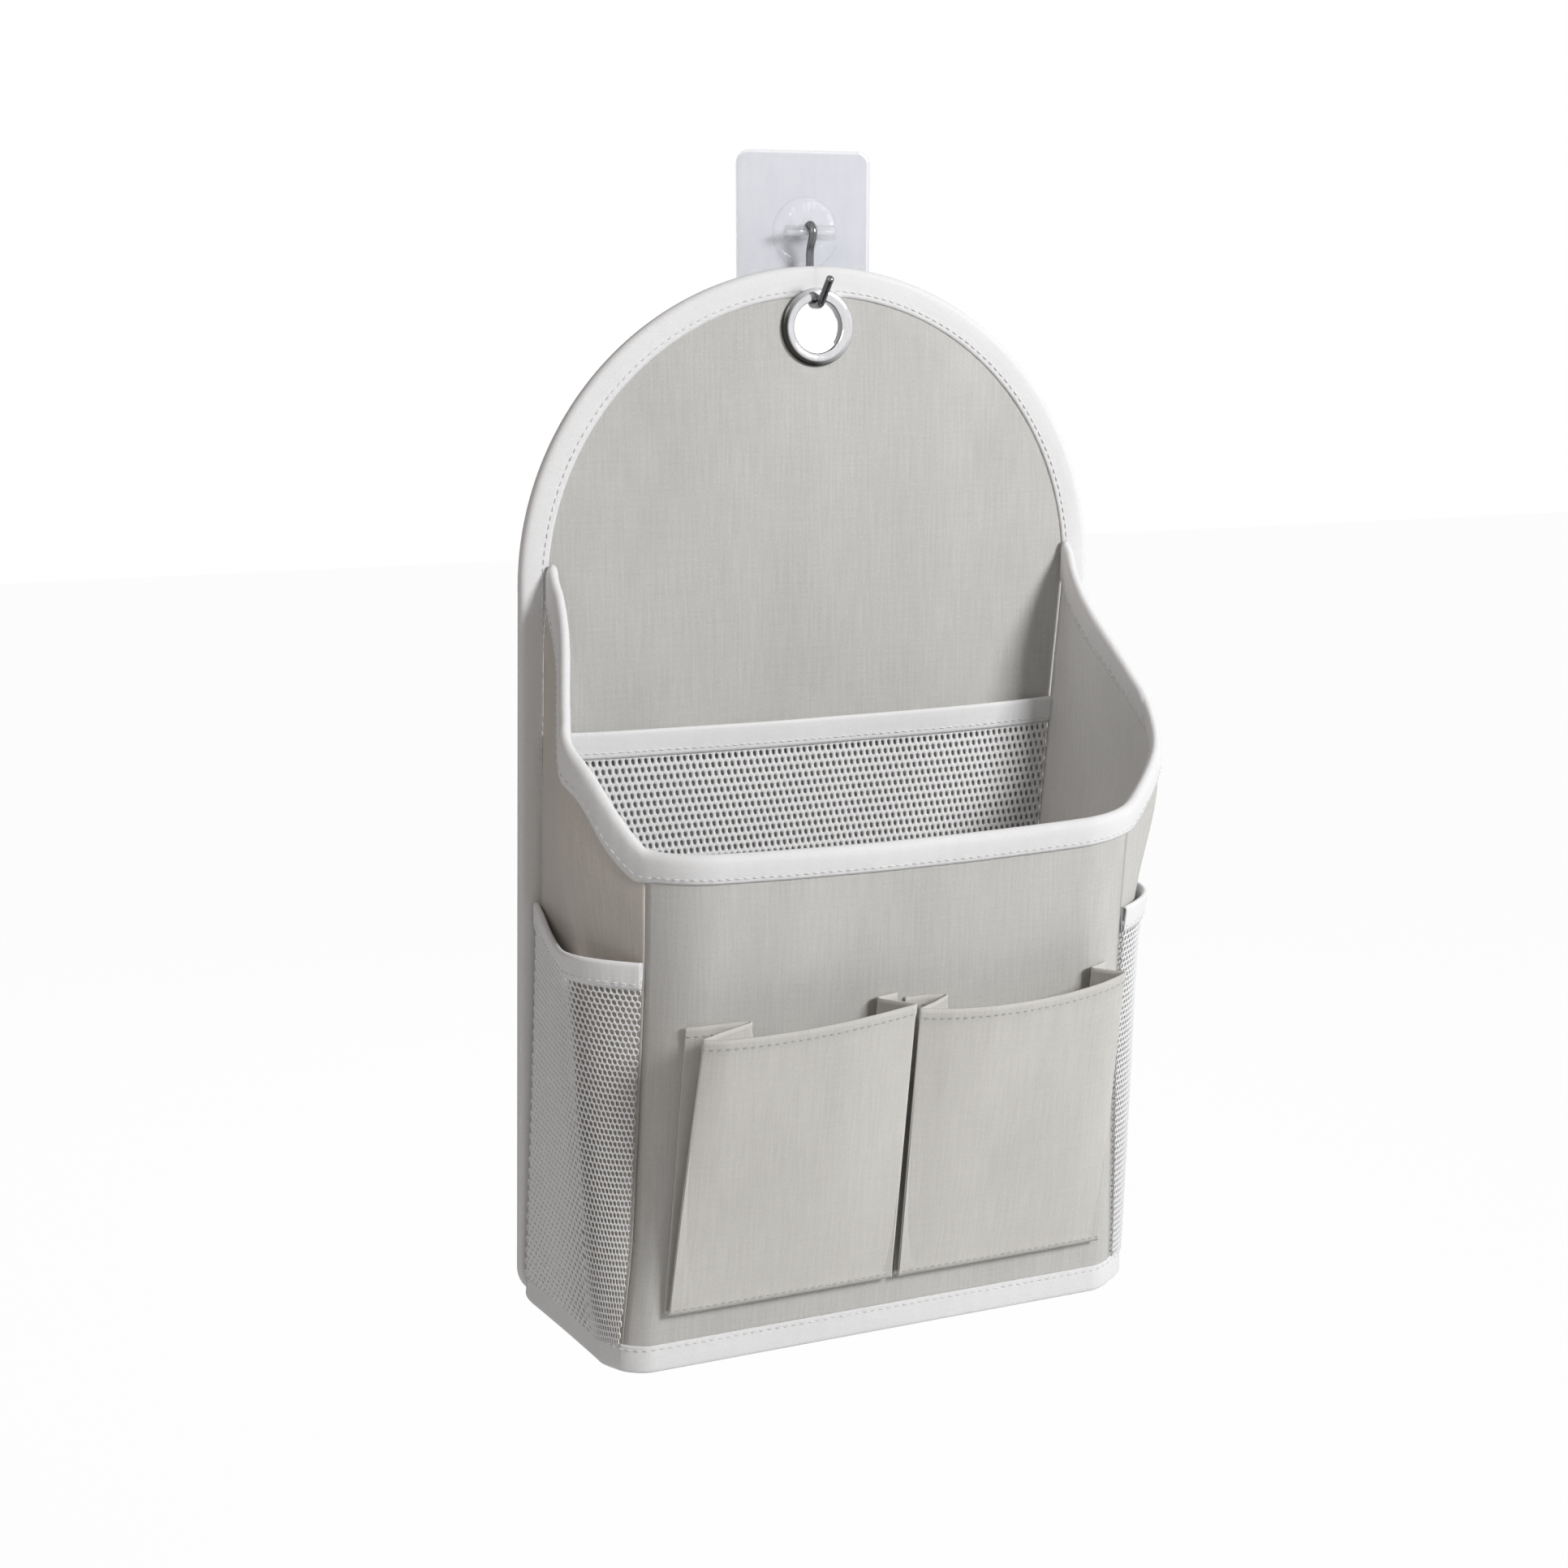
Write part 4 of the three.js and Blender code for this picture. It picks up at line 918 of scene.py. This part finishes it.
def fold_over_net(place, alongs, top):
    """A folded tape over a net's top edge: place gives a point for along, height and stand-off."""
    inset, out = fold_profile(NET_TAPE_FACE, swell=0.8, thick=NET_THICK, lip=1.1).T
    z = top - inset + 0 * alongs[:, None]
    wave = pucker(alongs * 100, inset, NET_TAPE_FACE)
    return place(alongs[:, None] + 0 * z, z, out + NET_THICK / 2 + wave)


def net_tape(name, grid, stands_for):
    """One folded tape on its net."""
    tape = sheet_piece(name, grid, TAPE_CLOTH, white_tape, stands_for)


side_alongs = np.linspace(SIDE_NET_START, 0.996, 90)
net_grids = {
    "inner": fold_over_net(inner_net_point, np.linspace(-1, 1, 150), NET_TOP),
    "left": fold_over_net(lambda u, z, out: side_net_point(u, z, False, out), side_alongs, SIDE_NET_TOP),
    "right": fold_over_net(lambda u, z, out: side_net_point(u, z, True, out), side_alongs, SIDE_NET_TOP)}
net_tape("inner_net_tape", net_grids["inner"], "inner_net_binding")
for side in ("left", "right"):
    net_tape(side + "_net_tape", net_grids[side], side + "_side_net_binding")
print("net tapes made:", list(net_grids))

# %% [markdown]
# ## Bellows-pleated front pockets
# Each front pocket has a pleat at both sides: from its seam the cloth runs in against the front, folds,
# and comes back out to the face's edge, so the pocket opens like bellows. A cloth simulation would find
# such folds only by luck. Here the section of each row is a line through the seam, the fold and the
# face's edge; rows open more and more from foot to mouth, and a short mean rounds the folds.

# %% Pleats of a pocket
POCKET_TOP, POCKET_FOOT, POCKET_HALF, POCKET_X = -264.5, -376.5, 43.4, 44.6
MOUTH_STAND = 12.6
POCKETS = {
    "left": {"sign": -1, "flat_width": 0.16, "sag": 1.0, "lean": (-1.0, 2.9),
             "left_pleat": {"fold": 16.0, "spare": 0.8, "spread": 5.0, "tuck": 3.4},
             "right_pleat": {"fold": 34.0, "spare": -1.0, "spread": 0.8, "more": 0.8, "lift": 0.3}},
    "right": {"sign": 1, "flat_width": 0.15, "sag": 2.6, "lean": (0.5, 4.0),
              "left_pleat": {"fold": 27.5, "spare": -1.0, "spread": 0.8, "more": -0.5},
              "right_pleat": {"fold": 34.5, "spare": -0.3, "spread": 2.2, "lift": 0.3}}}


def pleat(share, sign, fold, spare, spread, more=0.0, tuck=0.0, lift=1.0):
    """Knots of one pleat from its seam to the face's edge, as across and stand-off, for rows of a share.

    The share is 0 at the foot and 1 at the mouth. The seam moves out by spread at the foot and in by tuck
    at the mouth. The fold lies at fold from the pocket's middle, and lift is a factor on its rise off the
    front. At the mouth the face's edge lies spare inside the seam, and more adds to its stand-off."""
    wide = POCKET_HALF + spread * (1 - share) - tuck * share
    middle = (POCKET_HALF + fold) / 2
    return [(sign * wide, 0.9), (sign * middle, 1.2 + 0.6 * share),
            (sign * fold, 1.7 + 2.6 * lift * share), (sign * fold, 2.2 + 3.2 * lift * share),
            (sign * middle, 2.7 + (6.4 + 1.6 * lift) * share),
            (sign * (wide - spare * share), 3.2 + (MOUTH_STAND + more) * share)]


def soften(values):
    """A bell-shaped running mean along each row."""
    kernel = np.array([1, 3, 6, 9, 10, 9, 6, 3, 1]) / 48
    reach, columns = len(kernel) // 2, values.shape[1]
    padded = np.pad(values, ((0, 0), (reach, reach)), mode="edge")
    return sum(weight * padded[:, i:i + columns] for i, weight in enumerate(kernel))


def pocket_rows(pocket, rows=64, columns=240):
    """The pocket's section, row by row from mouth to foot, as across and stand-off from the front."""
    share = np.linspace(1, 0, rows)[:, None]
    left = pleat(share, -1, **pocket["left_pleat"])
    right = pleat(share, 1, **pocket["right_pleat"])
    face = [(place * POCKET_HALF, 3.4 + (MOUTH_STAND + crown) * share)
            for place, crown in ((-0.7, 2.4), (-0.35, 3.9), (0.0, 4.4), (0.35, 3.9), (0.7, 2.4))]
    knots = left + face + right[::-1]
    across = np.concatenate([np.broadcast_to(knot[0], share.shape) for knot in knots], 1)
    stand = np.concatenate([np.broadcast_to(knot[1], share.shape) for knot in knots], 1)
    mouth_run = run_length(np.stack([across[0], stand[0]], 1))
    knot_at = mouth_run / mouth_run[-1]
    stops = np.linspace(0, 1, columns)
    cell = np.clip(np.searchsorted(knot_at, stops, side="right") - 1, 0, len(knots) - 2)
    part = (stops - knot_at[cell]) / (knot_at[cell + 1] - knot_at[cell])
    across = blend(across[:, cell], across[:, cell + 1], part)
    stand = blend(stand[:, cell], stand[:, cell + 1], part)
    first_edge, last_edge = knot_at[len(left) - 1], knot_at[len(left) + len(face)]
    on_face = ease((stops - first_edge) / 0.03) * ease((last_edge - stops) / 0.03)
    return share, soften(across), soften(stand), on_face


print("knots of one pleat:", len(pleat(1.0, 1, **POCKETS["left"]["right_pleat"])))

# %% [markdown]
# ## Pockets on the front
# The sections are stacked into a grid and set on the front panel. A real hem is cloth turned under, and
# a second layer of mesh could show that, but from outside only its ridge is seen. So the cloth is moved
# out along its normal near the mouth and the foot, and the mouth droops and leans a little.

# %% Pockets on the front
HEM, FOOT_HEM, POCKET_CLOTH = 5.6, 3.4, 0.7


def pocket_grid(pocket):
    """The pleated section set on the front, with a hem ridge and a mouth that droops and leans a little."""
    share, across, stand, on_face = pocket_rows(pocket)
    z = blend(POCKET_FOOT, POCKET_TOP, share) + 0 * across
    from_middle = across / POCKET_HALF
    droop = pocket["sag"] * on_face * np.maximum(1 - from_middle ** 2, 0) * ease(share * 1.2 - 0.2)
    droop = droop - share * blend(*pocket["lean"], (from_middle + 1) / 2)
    x = pocket["sign"] * POCKET_X + across
    flatter = 0.6 - 7.0 * (np.abs(x) / FRONT_HALF) ** 12
    y = -depth_at(z) - blend(front_bow(x, z), flatter, ease(stand / 12)) - stand
    along = np.stack([np.gradient(x, axis=1), np.gradient(y, axis=1)], -1)
    normal = unit(np.stack([along[..., 1], -along[..., 0]], -1))
    ridge = 0.3 * ease((z - POCKET_TOP + HEM) / 1.2) + 0.25 * ease((POCKET_FOOT + FOOT_HEM - z) / 1.0)
    wave = ripple(across * 0.9, z * 1.3, 0.25) * share * ease((1 - np.abs(from_middle)) * 4)
    offset = (ridge + wave)[..., None] * normal
    return np.stack([x + offset[..., 0], y + offset[..., 1], z - droop], -1)


pocket_grids = {name: pocket_grid(pocket) for name, pocket in POCKETS.items()}
for name, grid in pocket_grids.items():
    cloth = sheet_piece(name + "_pocket_cloth", grid, POCKET_CLOTH, lit_pocket_linen,
                        name + "_front_pocket", (0, -1, 0))
    print(name, "pocket made, its mouth is", round(float(run_length(grid[0])[-1]), 1), "mm long")

# %% [markdown]
# ## Stitches
# Rows of thread hold the tapes and hems. A dashed texture would look flat from the side, so every stitch
# is a small five-sided capsule that rises from the cloth and dips into it at both ends. All stitches of
# a row are worked out at once, as one array of rings.

# %% Stitches
STITCH_RINGS, STITCH_SIDES = 5, 5


def tube_faces(rings, steps):
    """Faces round a stack of rings of points, and the flat caps that close its first and last ring."""
    around = np.arange(steps)
    caps = np.stack([around, (rings - 1) * steps + around[::-1]])
    return grid_faces(rings, steps, loop_columns=True), caps


def stitch_points(line, normal, pitch=3.3, length=2.5, radius=0.24):
    """Rings of the capsules: centres spaced along the line, lifted in the middle, thinner at the ends."""
    run = run_length(line)
    centre = np.arange(pitch / 2, run[-1] - pitch / 2, pitch)
    share = np.linspace(-1, 1, STITCH_RINGS)
    stops = centre[:, None] + share * length / 2
    place, up = at_lengths(line, run, stops), unit(at_lengths(normal, run, stops))
    aside = np.cross(unit(np.gradient(place, axis=1)), up)
    place, up, aside = place[:, :, None, :], up[:, :, None, :], aside[:, :, None, :]
    turn = np.arange(STITCH_SIDES)[:, None] * 2 * math.pi / STITCH_SIDES
    size = radius * np.sqrt(1 - 0.85 * share ** 4)[:, None, None]
    lift = radius * (0.75 - 1.3 * share ** 4)[:, None, None]
    return place + lift * up + size * (np.cos(turn) * aside + np.sin(turn) * up)


def stitch_piece(name, rows, finish):
    """One object for rows of stitches; the UV of each stitch is moved on, so that no two look the same."""
    rings = np.concatenate([stitch_points(*row) for row in rows])
    number = np.arange(len(rings))[:, None]
    first = number * STITCH_RINGS * STITCH_SIDES
    faces, caps = tube_faces(STITCH_RINGS, STITCH_SIDES)
    faces = (first[:, None] + faces).reshape(-1, 4)
    caps = (first + caps[:, None]).reshape(-1, STITCH_SIDES)
    small = np.stack(np.meshgrid(np.arange(STITCH_SIDES) / 4000, np.arange(STITCH_RINGS) / 2000), -1)
    uv = small.reshape(-1, 2) + number[:, None] * [0.0137, 0.0071]
    make_piece(name, rings + HANG, faces, finish, uv=uv.reshape(-1, 2), caps=caps)
    print(name + ":", len(rings))


def stitch_row(grid, column, facing, closed=False):
    """A line of a grid at one column, with the grid's normals there, turned to the side of facing."""
    line = grid[:, column]
    normal = unit(np.cross(np.gradient(line, axis=0), grid[:, column + 1] - grid[:, column - 1]))
    normal = normal if (normal * facing).sum() >= 0 else -normal
    if closed:
        line, normal = np.vstack([line, line[:1]]), np.vstack([normal, normal[:1]])
    return line, normal


print("points of one stitch:", STITCH_RINGS * STITCH_SIDES)

# %% [markdown]
# ## Rows of stitches
# Each tape is sewn through near its hem, so its front and, where it is seen, its rear face show a row.
# A row is a column of the tape's own grid, and so it follows every swell and pucker. The pockets have
# a finer grey thread along the hem and the foot.

# %% Rows of stitches
FRONT_ROW, REAR_ROW = 2, -3
FORWARD, BACKWARD = (0, -1, 0), (0, 1, 0)
HEM_ROW, FOOT_ROW = 2, -2
FINE_STITCH = (3.0, 2.2, 0.2)


def sideways(grid):
    """Directions from the upright line through the body's middle to a tape's front row."""
    return (grid[:, FRONT_ROW] - [0, -40.0, 0]) * [1, 1, 0]


stitch_piece("back_tape_stitches", [stitch_row(back_grid, FRONT_ROW, FORWARD, closed=True),
                                    stitch_row(back_grid, REAR_ROW, BACKWARD, closed=True)],
             white_thread)
outside = rim_grid[:, FRONT_ROW] - rim_grid[:, REAR_ROW]
stitch_piece("rim_tape_stitches", [stitch_row(rim_grid, FRONT_ROW, outside),
                                   stitch_row(rim_grid, REAR_ROW, -outside)], white_thread)
stitch_piece("foot_tape_stitches", [stitch_row(foot_grid, FRONT_ROW, sideways(foot_grid))],
             white_thread)
rows = [stitch_row(net_grids["inner"], FRONT_ROW, FORWARD)]
rows += [stitch_row(net_grids[side], FRONT_ROW, sideways(net_grids[side])) for side in ("left", "right")]
stitch_piece("net_tape_stitches", rows, white_thread)
upright = [np.swapaxes(grid, 0, 1) for grid in pocket_grids.values()]
rows = [(*stitch_row(grid, row, FORWARD), *FINE_STITCH) for grid in upright for row in (HEM_ROW, FOOT_ROW)]
stitch_piece("pocket_stitches", rows, grey_thread)

# %% [markdown]
# ## Metal, clear plastic and board
# The eyelet and the wire are bright metal, and the pad and its boss are clear plastic. A mirror needs
# something uneven to look real, so a group gives fine scuffs: stretched noise that changes the colour
# and the roughness a little and dents the surface by a hair. Clear plastic is thin here, so a low
# alpha shows what lies behind it with less noise than refraction would.


# %% Metal, clear plastic and board
def scuff_group():
    """Fine scuffs on bare metal, plastic or board: drawn-out noise and specks, as a tone and its height."""
    group, given = new_group("fine_scuffs", {"Scale": 900.0}, light=(1, 1, 1, 1), dark=(0.8, 0.8, 0.8, 1))
    sized = node(group, "VectorMath", {0: given["Place"], "Scale": given["Scale"]}, operation="SCALE")
    streak = noise(group, scaled(group, sized.outputs[0], (1.0, 1.0, 0.25)), detail=3.0)
    speck = noise(group, scaled(group, sized.outputs[0], (3.1, 2.7, 3.3)))
    tone = maths(group, "ADD", maths(group, "MULTIPLY_ADD", streak, 1.4, -0.2), swing(group, speck, 0.6))
    return close_group(group, given, tone, tone)


SCUFFS = scuff_group()


def hard_finish(name, light, dark, scale, rough, bump, settings=None, painted_reflection_colour=None):
    """Metal, plastic or board on Object coordinates; marked points take a dark colour, a painted reflection
    and shade.
    """
    finish, tree = bare_material(name)
    place = node(tree, "TexCoord").outputs["Object"]
    values = {"Place": place, "Scale": scale, "Light": light, "Dark": dark}
    scuffs = node(tree, "Group", values, node_tree=SCUFFS).outputs
    colour = scuffs["Colour"]
    # marked points get a dark colour: a painted reflection and painted shade
    if painted_reflection_colour:
        mark = node(tree, "Attribute", attribute_name="painted_dark_reflection").outputs["Fac"]
        colour = node(tree, "MixRGB", {"Fac": mark, "Color1": colour, "Color2": painted_reflection_colour}).outputs[0]
    relief = node(tree, "Bump", {"Height": scuffs["Height"], "Strength": bump, "Distance": 0.00005})
    matt = maths(tree, "MULTIPLY_ADD", scuffs["Height"], rough[1] - rough[0], rough[0])
    shader = node(tree, "BsdfPrincipled", {"Base Color": colour, "Roughness": matt,
                                           "Normal": relief.outputs[0], **(settings or {})})
    node(tree, "OutputMaterial", {"Surface": shader.outputs[0]})
    return finish


METAL = {"Metallic": 1.0}
steel = hard_finish("bright_steel", rgb(128, 128, 131), rgb(98, 98, 101),
                    scale=900.0, rough=(0.14, 0.28), bump=0.1, settings=METAL)
# the dark colour paints in the eyelet's dark reflection and the shade in its bore
chrome = hard_finish("plated_eyelet", rgb(232, 232, 234), rgb(212, 212, 215),
                     scale=700.0, rough=(0.06, 0.16), bump=0.06, settings=METAL, painted_reflection_colour=rgb(58, 57, 55))
clear = hard_finish("clear_plastic", rgb(236, 238, 243), rgb(226, 228, 234),
                    scale=300.0, rough=(0.06, 0.14), bump=0.05, settings={"Alpha": 0.35})
clear_boss = hard_finish("clear_moulding", rgb(228, 230, 235), rgb(210, 212, 217),
                         scale=300.0, rough=(0.04, 0.1), bump=0.05, settings={"Alpha": 0.24})
film = hard_finish("adhesive_film", rgb(232, 233, 238), rgb(226, 227, 233),
                   scale=260.0, rough=(0.35, 0.5), bump=0.1)
board = hard_finish("stiff_board", rgb(206, 203, 195), rgb(188, 185, 177),
                    scale=500.0, rough=(0.8, 0.92), bump=0.3)
print("hard finishes:", [finish.name for finish in (steel, chrome, clear, clear_boss, film, board)])

# %% [markdown]
# ## Boards and the solids that stay
# Stiff boards inside the cloth give the organizer its shape. The front's and the base's follow the
# softer surfaces made here, so they are grids like their cloth. The back board, the pad's film and the
# axle pin are plain in reality too: those solids stay and only get a finish.

# %% Boards and the solids that stay
BOARD_THICK = 1.4
for name, finish in (("adhesive_film", film), ("hook_axle_pin", clear), ("back_board", board)):
    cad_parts[name].data.materials.clear()
    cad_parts[name].data.materials.append(finish)
grid = wall_grid(1.03, 1.97, columns=60, rows=50, top_gap=4.0, inside=1.6, bumpy=0.0)
stiff = sheet_piece("front_board_sheet", grid, BOARD_THICK, board, "front_board", (0, -1, 0))
grid = base_grid(-HEIGHT + BOARD_THICK, inside=3.2)
stiff = sheet_piece("base_board_sheet", grid, BOARD_THICK, board, "base_board", (0, 0, -1))
print("boards of front and base made, and finishes set on three solids")

# %% [markdown]
# ## Eyelet
# The eyelet is a pressed ring: a rounded flange in front, a barrel through the panel and a flat ring
# behind. Blender's Screw modifier could turn a profile, but turning it as an array gives the same ring
# already closed, so no seam has to be merged. Polished metal mirrors the dark part of a room on the
# side away from the lamp and inside its bore: that dark reflection and the shade in the bore are painted
# into the colour, on points that an attribute marks.

# %% Eyelet
RING_STEPS, BORE_PAINTED_SHADE = 120, 0.8
PAINTED_DARK_SIDE = math.radians(215)
round_ring = np.arange(RING_STEPS) * 2 * math.pi / RING_STEPS


def half_round(turn, middle, half, base, rise, power=1.0):
    """A half round of radius and depth: a cosine spans its width, and a power of the sine lifts it."""
    return np.stack([middle + half * np.cos(turn), base + rise * np.sin(turn) ** power], 1)


def ring_piece(name, profile, painted_dark_reflection, stands_for):
    """A closed profile of radius and depth, turned round the eyelet's axis, which runs along Y."""
    radius, depth = profile.T
    x = np.cos(round_ring)[:, None] * radius
    z = EYE[1] + np.sin(round_ring)[:, None] * radius
    grid = np.stack([x, depth + 0 * x, z], -1) + HANG
    faces = grid_faces(*grid.shape[:2], True, True)
    painted_dark_reflection = np.broadcast_to(painted_dark_reflection, grid.shape[:2]).ravel()
    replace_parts(make_piece(name, grid, faces, chrome, painted_dark_reflection=painted_dark_reflection), stands_for)


turn = np.linspace(0, math.pi, 31)
flange = half_round(turn, middle=12.2, half=2.5, base=-0.1, rise=-1.9, power=0.7)
barrel = np.array([[9.75, 1.0], [9.8, 3.0], [9.9, 4.1], [10.35, 4.45], [10.7, 4.4], [10.75, 3.0],
                   [10.75, 0.4], [11.4, 0.0]])
# painted dark reflection on the flange's outer slope away from the lamp, and painted shade in the bore
away_from_lamp = np.clip(0.5 + 0.75 * np.cos(round_ring - PAINTED_DARK_SIDE), 0, 1)
outer_edge = np.concatenate([1 - ease((np.degrees(turn) - 66) / 26), np.zeros(len(barrel))])
bore = np.concatenate([ease((np.degrees(turn) - 148) / 20), np.ones(len(barrel))])
painted_dark_reflection = away_from_lamp[:, None] * outer_edge + BORE_PAINTED_SHADE * bore
ring_piece("eyelet_ring", np.vstack([flange, barrel]), painted_dark_reflection, "eyelet")
rear = half_round(np.linspace(0, math.pi, 13), middle=12.8, half=1.85, base=3.75, rise=0.75)
ring_piece("eyelet_rear_ring", np.vstack([rear, [[11.0, 3.68], [14.6, 3.68]]]), 0.0, "eyelet_washer")
print("eyelet rings made, bore", 2 * barrel[0, 0], "mm")

# %% [markdown]
# ## Pad and boss
# The pad is a thin plate with soft corners, and the boss on it is a round dome with fine flutes that
# gather light into a star. A bevelled cube would do for the pad, but not for the flutes. Both are
# stacks of rings: each ring is the same closed line, a little smaller or further out than the one
# before, and a flat face closes each end. Clear moulding hardly dims the light, so it casts no shadow.

# %% Pad and boss
PAD_HALF, PAD_CORNER = 27.5, 5
AXLE_Y, AXLE_Z = -7.75, -3.0
BARREL, BARREL_START, BARREL_END = 2.85, 1.95, 10.0
FLUTES = 30


def stacked(name, rings, finish, body, stands_for=None):
    """A closed solid from rings of points of the same count, with its first and last ring closed flat."""
    faces, caps = tube_faces(*rings.shape[:2])
    piece = make_piece(name, rings, faces, finish, body, caps=caps)
    if stands_for:
        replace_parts(piece, stands_for)
    return piece


def rounded_square(half, corner, steps=160):
    """A square with round corners, as evenly spaced points."""
    turn = np.linspace(0, 2 * math.pi, 240, endpoint=False)
    x = np.sign(np.cos(turn)) * (half - corner) + corner * np.cos(turn)
    z = np.sign(np.sin(turn)) * (half - corner) + corner * np.sin(turn)
    return even(np.stack([x, z], 1), steps, closed=True)


def pad_rings():
    """Rounded squares from the pad's front to its back, each inset from the edge and set at a depth."""
    plate = [(12, -2.0), (2, -2.0), (0.5, -1.98), (0.12, -1.85), (0, -1.6),
             (0, -1.1), (0.12, -0.92), (0.4, -0.82), (2, -0.8), (12, -0.8)]
    rings = [np.insert(rounded_square(PAD_HALF - inset, max(PAD_CORNER - inset, 0.8)), 1, depth, axis=1)
             for inset, depth in plate]
    return np.stack(rings)


def boss_rings():
    """A dome of rings; its flutes, a cosine round the axis, deepen outwards and fade at the edge."""
    turn = np.arange(180) * 2 * math.pi / 180
    radius = np.array([1.0, 4, 6, 8, 10, 11.4, 12.4, 13.0, 13.35, 13.5, 13.5, 13.2, 9, 1.0])[:, None]
    depth = [-5.3, -5.3, -5.28, -5.2, -5.05, -4.85, -4.55, -4.2, -3.8, -3.3, -2.4, -2.1, -2.1, -2.1]
    flute = np.array([0, 0.1, 0.2, 0.3, 0.34, 0.3, 0.22, 0.12, 0.04, 0, 0, 0, 0, 0])[:, None]
    y = np.array(depth)[:, None] + flute * (0.5 + 0.5 * np.cos(FLUTES * turn))
    return np.stack([radius * np.cos(turn), y, AXLE_Z + radius * np.sin(turn)], -1)


def barrel_rings(start, end):
    """A short round bar along X with softened ends."""
    inset, smaller = np.array([0.0, 0.0, 0.15, 0.5]), np.array([0.9, 0.5, 0.18, 0.0])
    x = np.concatenate([start + inset, end - inset[::-1]])[:, None]
    size = BARREL - np.concatenate([smaller, smaller[::-1]])[:, None]
    turn = np.arange(40) * 2 * math.pi / 40
    y = AXLE_Y + size * np.cos(turn)
    return np.stack([x + 0 * y, y, AXLE_Z + size * np.sin(turn)], -1)


stacked("clear_pad", pad_rings(), clear, "wall_pad", "hook_pad")
for name, rings, stands_for in (("clear_boss", boss_rings(), "hook_boss"),
                                ("left_barrel", barrel_rings(-BARREL_END, -BARREL_START), None),
                                ("right_barrel", barrel_rings(BARREL_START, BARREL_END), None)):
    moulding = stacked(name, rings, clear_boss, "wall_pad", stands_for)
    moulding.visible_shadow = False
print("pad, boss and barrels made")

# %% [markdown]
# ## Wire hook
# The hook is one bent steel wire: an open eye round the axle, a shank, a flat-bottomed bend and a tip
# that leans forward. A bevelled curve object would do as well, but here the ends can be rounded in the
# same step. The centre line is arcs and straights in the plane x = 0, a short mean eases its joins, and
# a circle is carried along it, drawn in at both ends.

# %% Wire hook
WIRE, WIRE_END, WIRE_STEPS = 1.5, 1.1, 260
BEND, BEND_HEIGHT, FLAT_BOTTOM = 4.0, -22.7, 4.465
TIP_LENGTH, TIP_LEAN = 13, 45


def arc(centre, radius, start, end, steps):
    """Points of an arc in the plane of Y and Z, with its angle from straight down towards the front."""
    turn = np.radians(np.linspace(start, end, steps))
    return np.stack([centre[0] - radius * np.sin(turn), centre[1] - radius * np.cos(turn)], 1)


eye = arc((0, 0), 3.05, 285, 62, 60)
join = np.array([[-1.9, -3.2], [-0.8, -4.9], [-0.15, -6.4], [0.0, -8.0]])
bend = arc((-BEND, BEND_HEIGHT), BEND, -90, 0, 24)
tip_bend = arc((-BEND - FLAT_BOTTOM, BEND_HEIGHT), BEND, 0, TIP_LEAN, 16)
lean = math.radians(TIP_LEAN)
tip = tip_bend[-1] + np.linspace(0, TIP_LENGTH, 30)[1:, None] * [-math.cos(lean), math.sin(lean)]
line = even(np.vstack([eye, join, bend, tip_bend, tip]) + [AXLE_Y, AXLE_Z], WIRE_STEPS)
smooth = np.stack([running_mean(line[:, i], 9) for i in (0, 1)], 1)
smooth[[0, -1]] = line[[0, -1]]
line = even(smooth, WIRE_STEPS)
ahead = unit(np.gradient(line, axis=0))
run = run_length(line)
near_end = np.clip(np.minimum(run, run[-1] - run) / WIRE_END, 0, 1)
size = WIRE * np.sqrt(np.clip(1 - (1 - near_end) ** 2, 0.03, 1))[:, None]
turn = np.arange(24) * 2 * math.pi / 24
y = line[:, :1] + size * np.sin(turn) * ahead[:, 1:]
z = line[:, 1:] - size * np.sin(turn) * ahead[:, :1]
stacked("steel_wire", np.stack([size * np.cos(turn), y, z], -1), steel, "hook", "wire_hook")
print("wire length", round(float(run[-1]), 1), "mm")

# %% [markdown]
# ## Floor
# The organizer hangs in the air of a plain studio. A pale floor well below it closes the room and takes
# a faint shadow. To the camera it is mostly its own white light, so it meets the white background, but
# to the object it is an ordinary pale floor that reflects a little light upwards.

# %% Floor
FLOOR_HALF, FLOOR_HEIGHT, FLOOR_GLOW = 6.0, -0.86, 0.97
FLOOR_DARK, FLOOR_LIGHT = (0.84, 0.84, 0.84, 1), (0.88, 0.88, 0.88, 1)
floor_mesh = bpy.data.meshes.new("studio_floor")
corners = np.array([[-1, -1], [1, -1], [1, 1], [-1, 1]]) * FLOOR_HALF
floor_mesh.from_pydata(np.insert(corners, 2, FLOOR_HEIGHT, axis=1), [], [[0, 1, 2, 3]])
pale, tree = bare_material("pale_floor")
cloud = noise(tree, node(tree, "TexCoord").outputs["Object"], scale=3.0)
tint = node(tree, "MixRGB", {"Fac": cloud, "Color1": FLOOR_DARK, "Color2": FLOOR_LIGHT})
matt = node(tree, "BsdfPrincipled", {"Base Color": tint.outputs[0], "Roughness": 0.9})
glow = node(tree, "Emission", {"Color": WHITE, "Strength": 1.0})
share = maths(tree, "MULTIPLY", seen_directly(tree), FLOOR_GLOW)
surface = node(tree, "MixShader", {0: share, 1: matt.outputs[0], 2: glow.outputs[0]})
node(tree, "OutputMaterial", {"Surface": surface.outputs[0]})
floor_mesh.materials.append(pale)
put_in_scene("studio_floor", floor_mesh)
print("floor at", FLOOR_HEIGHT, "m")
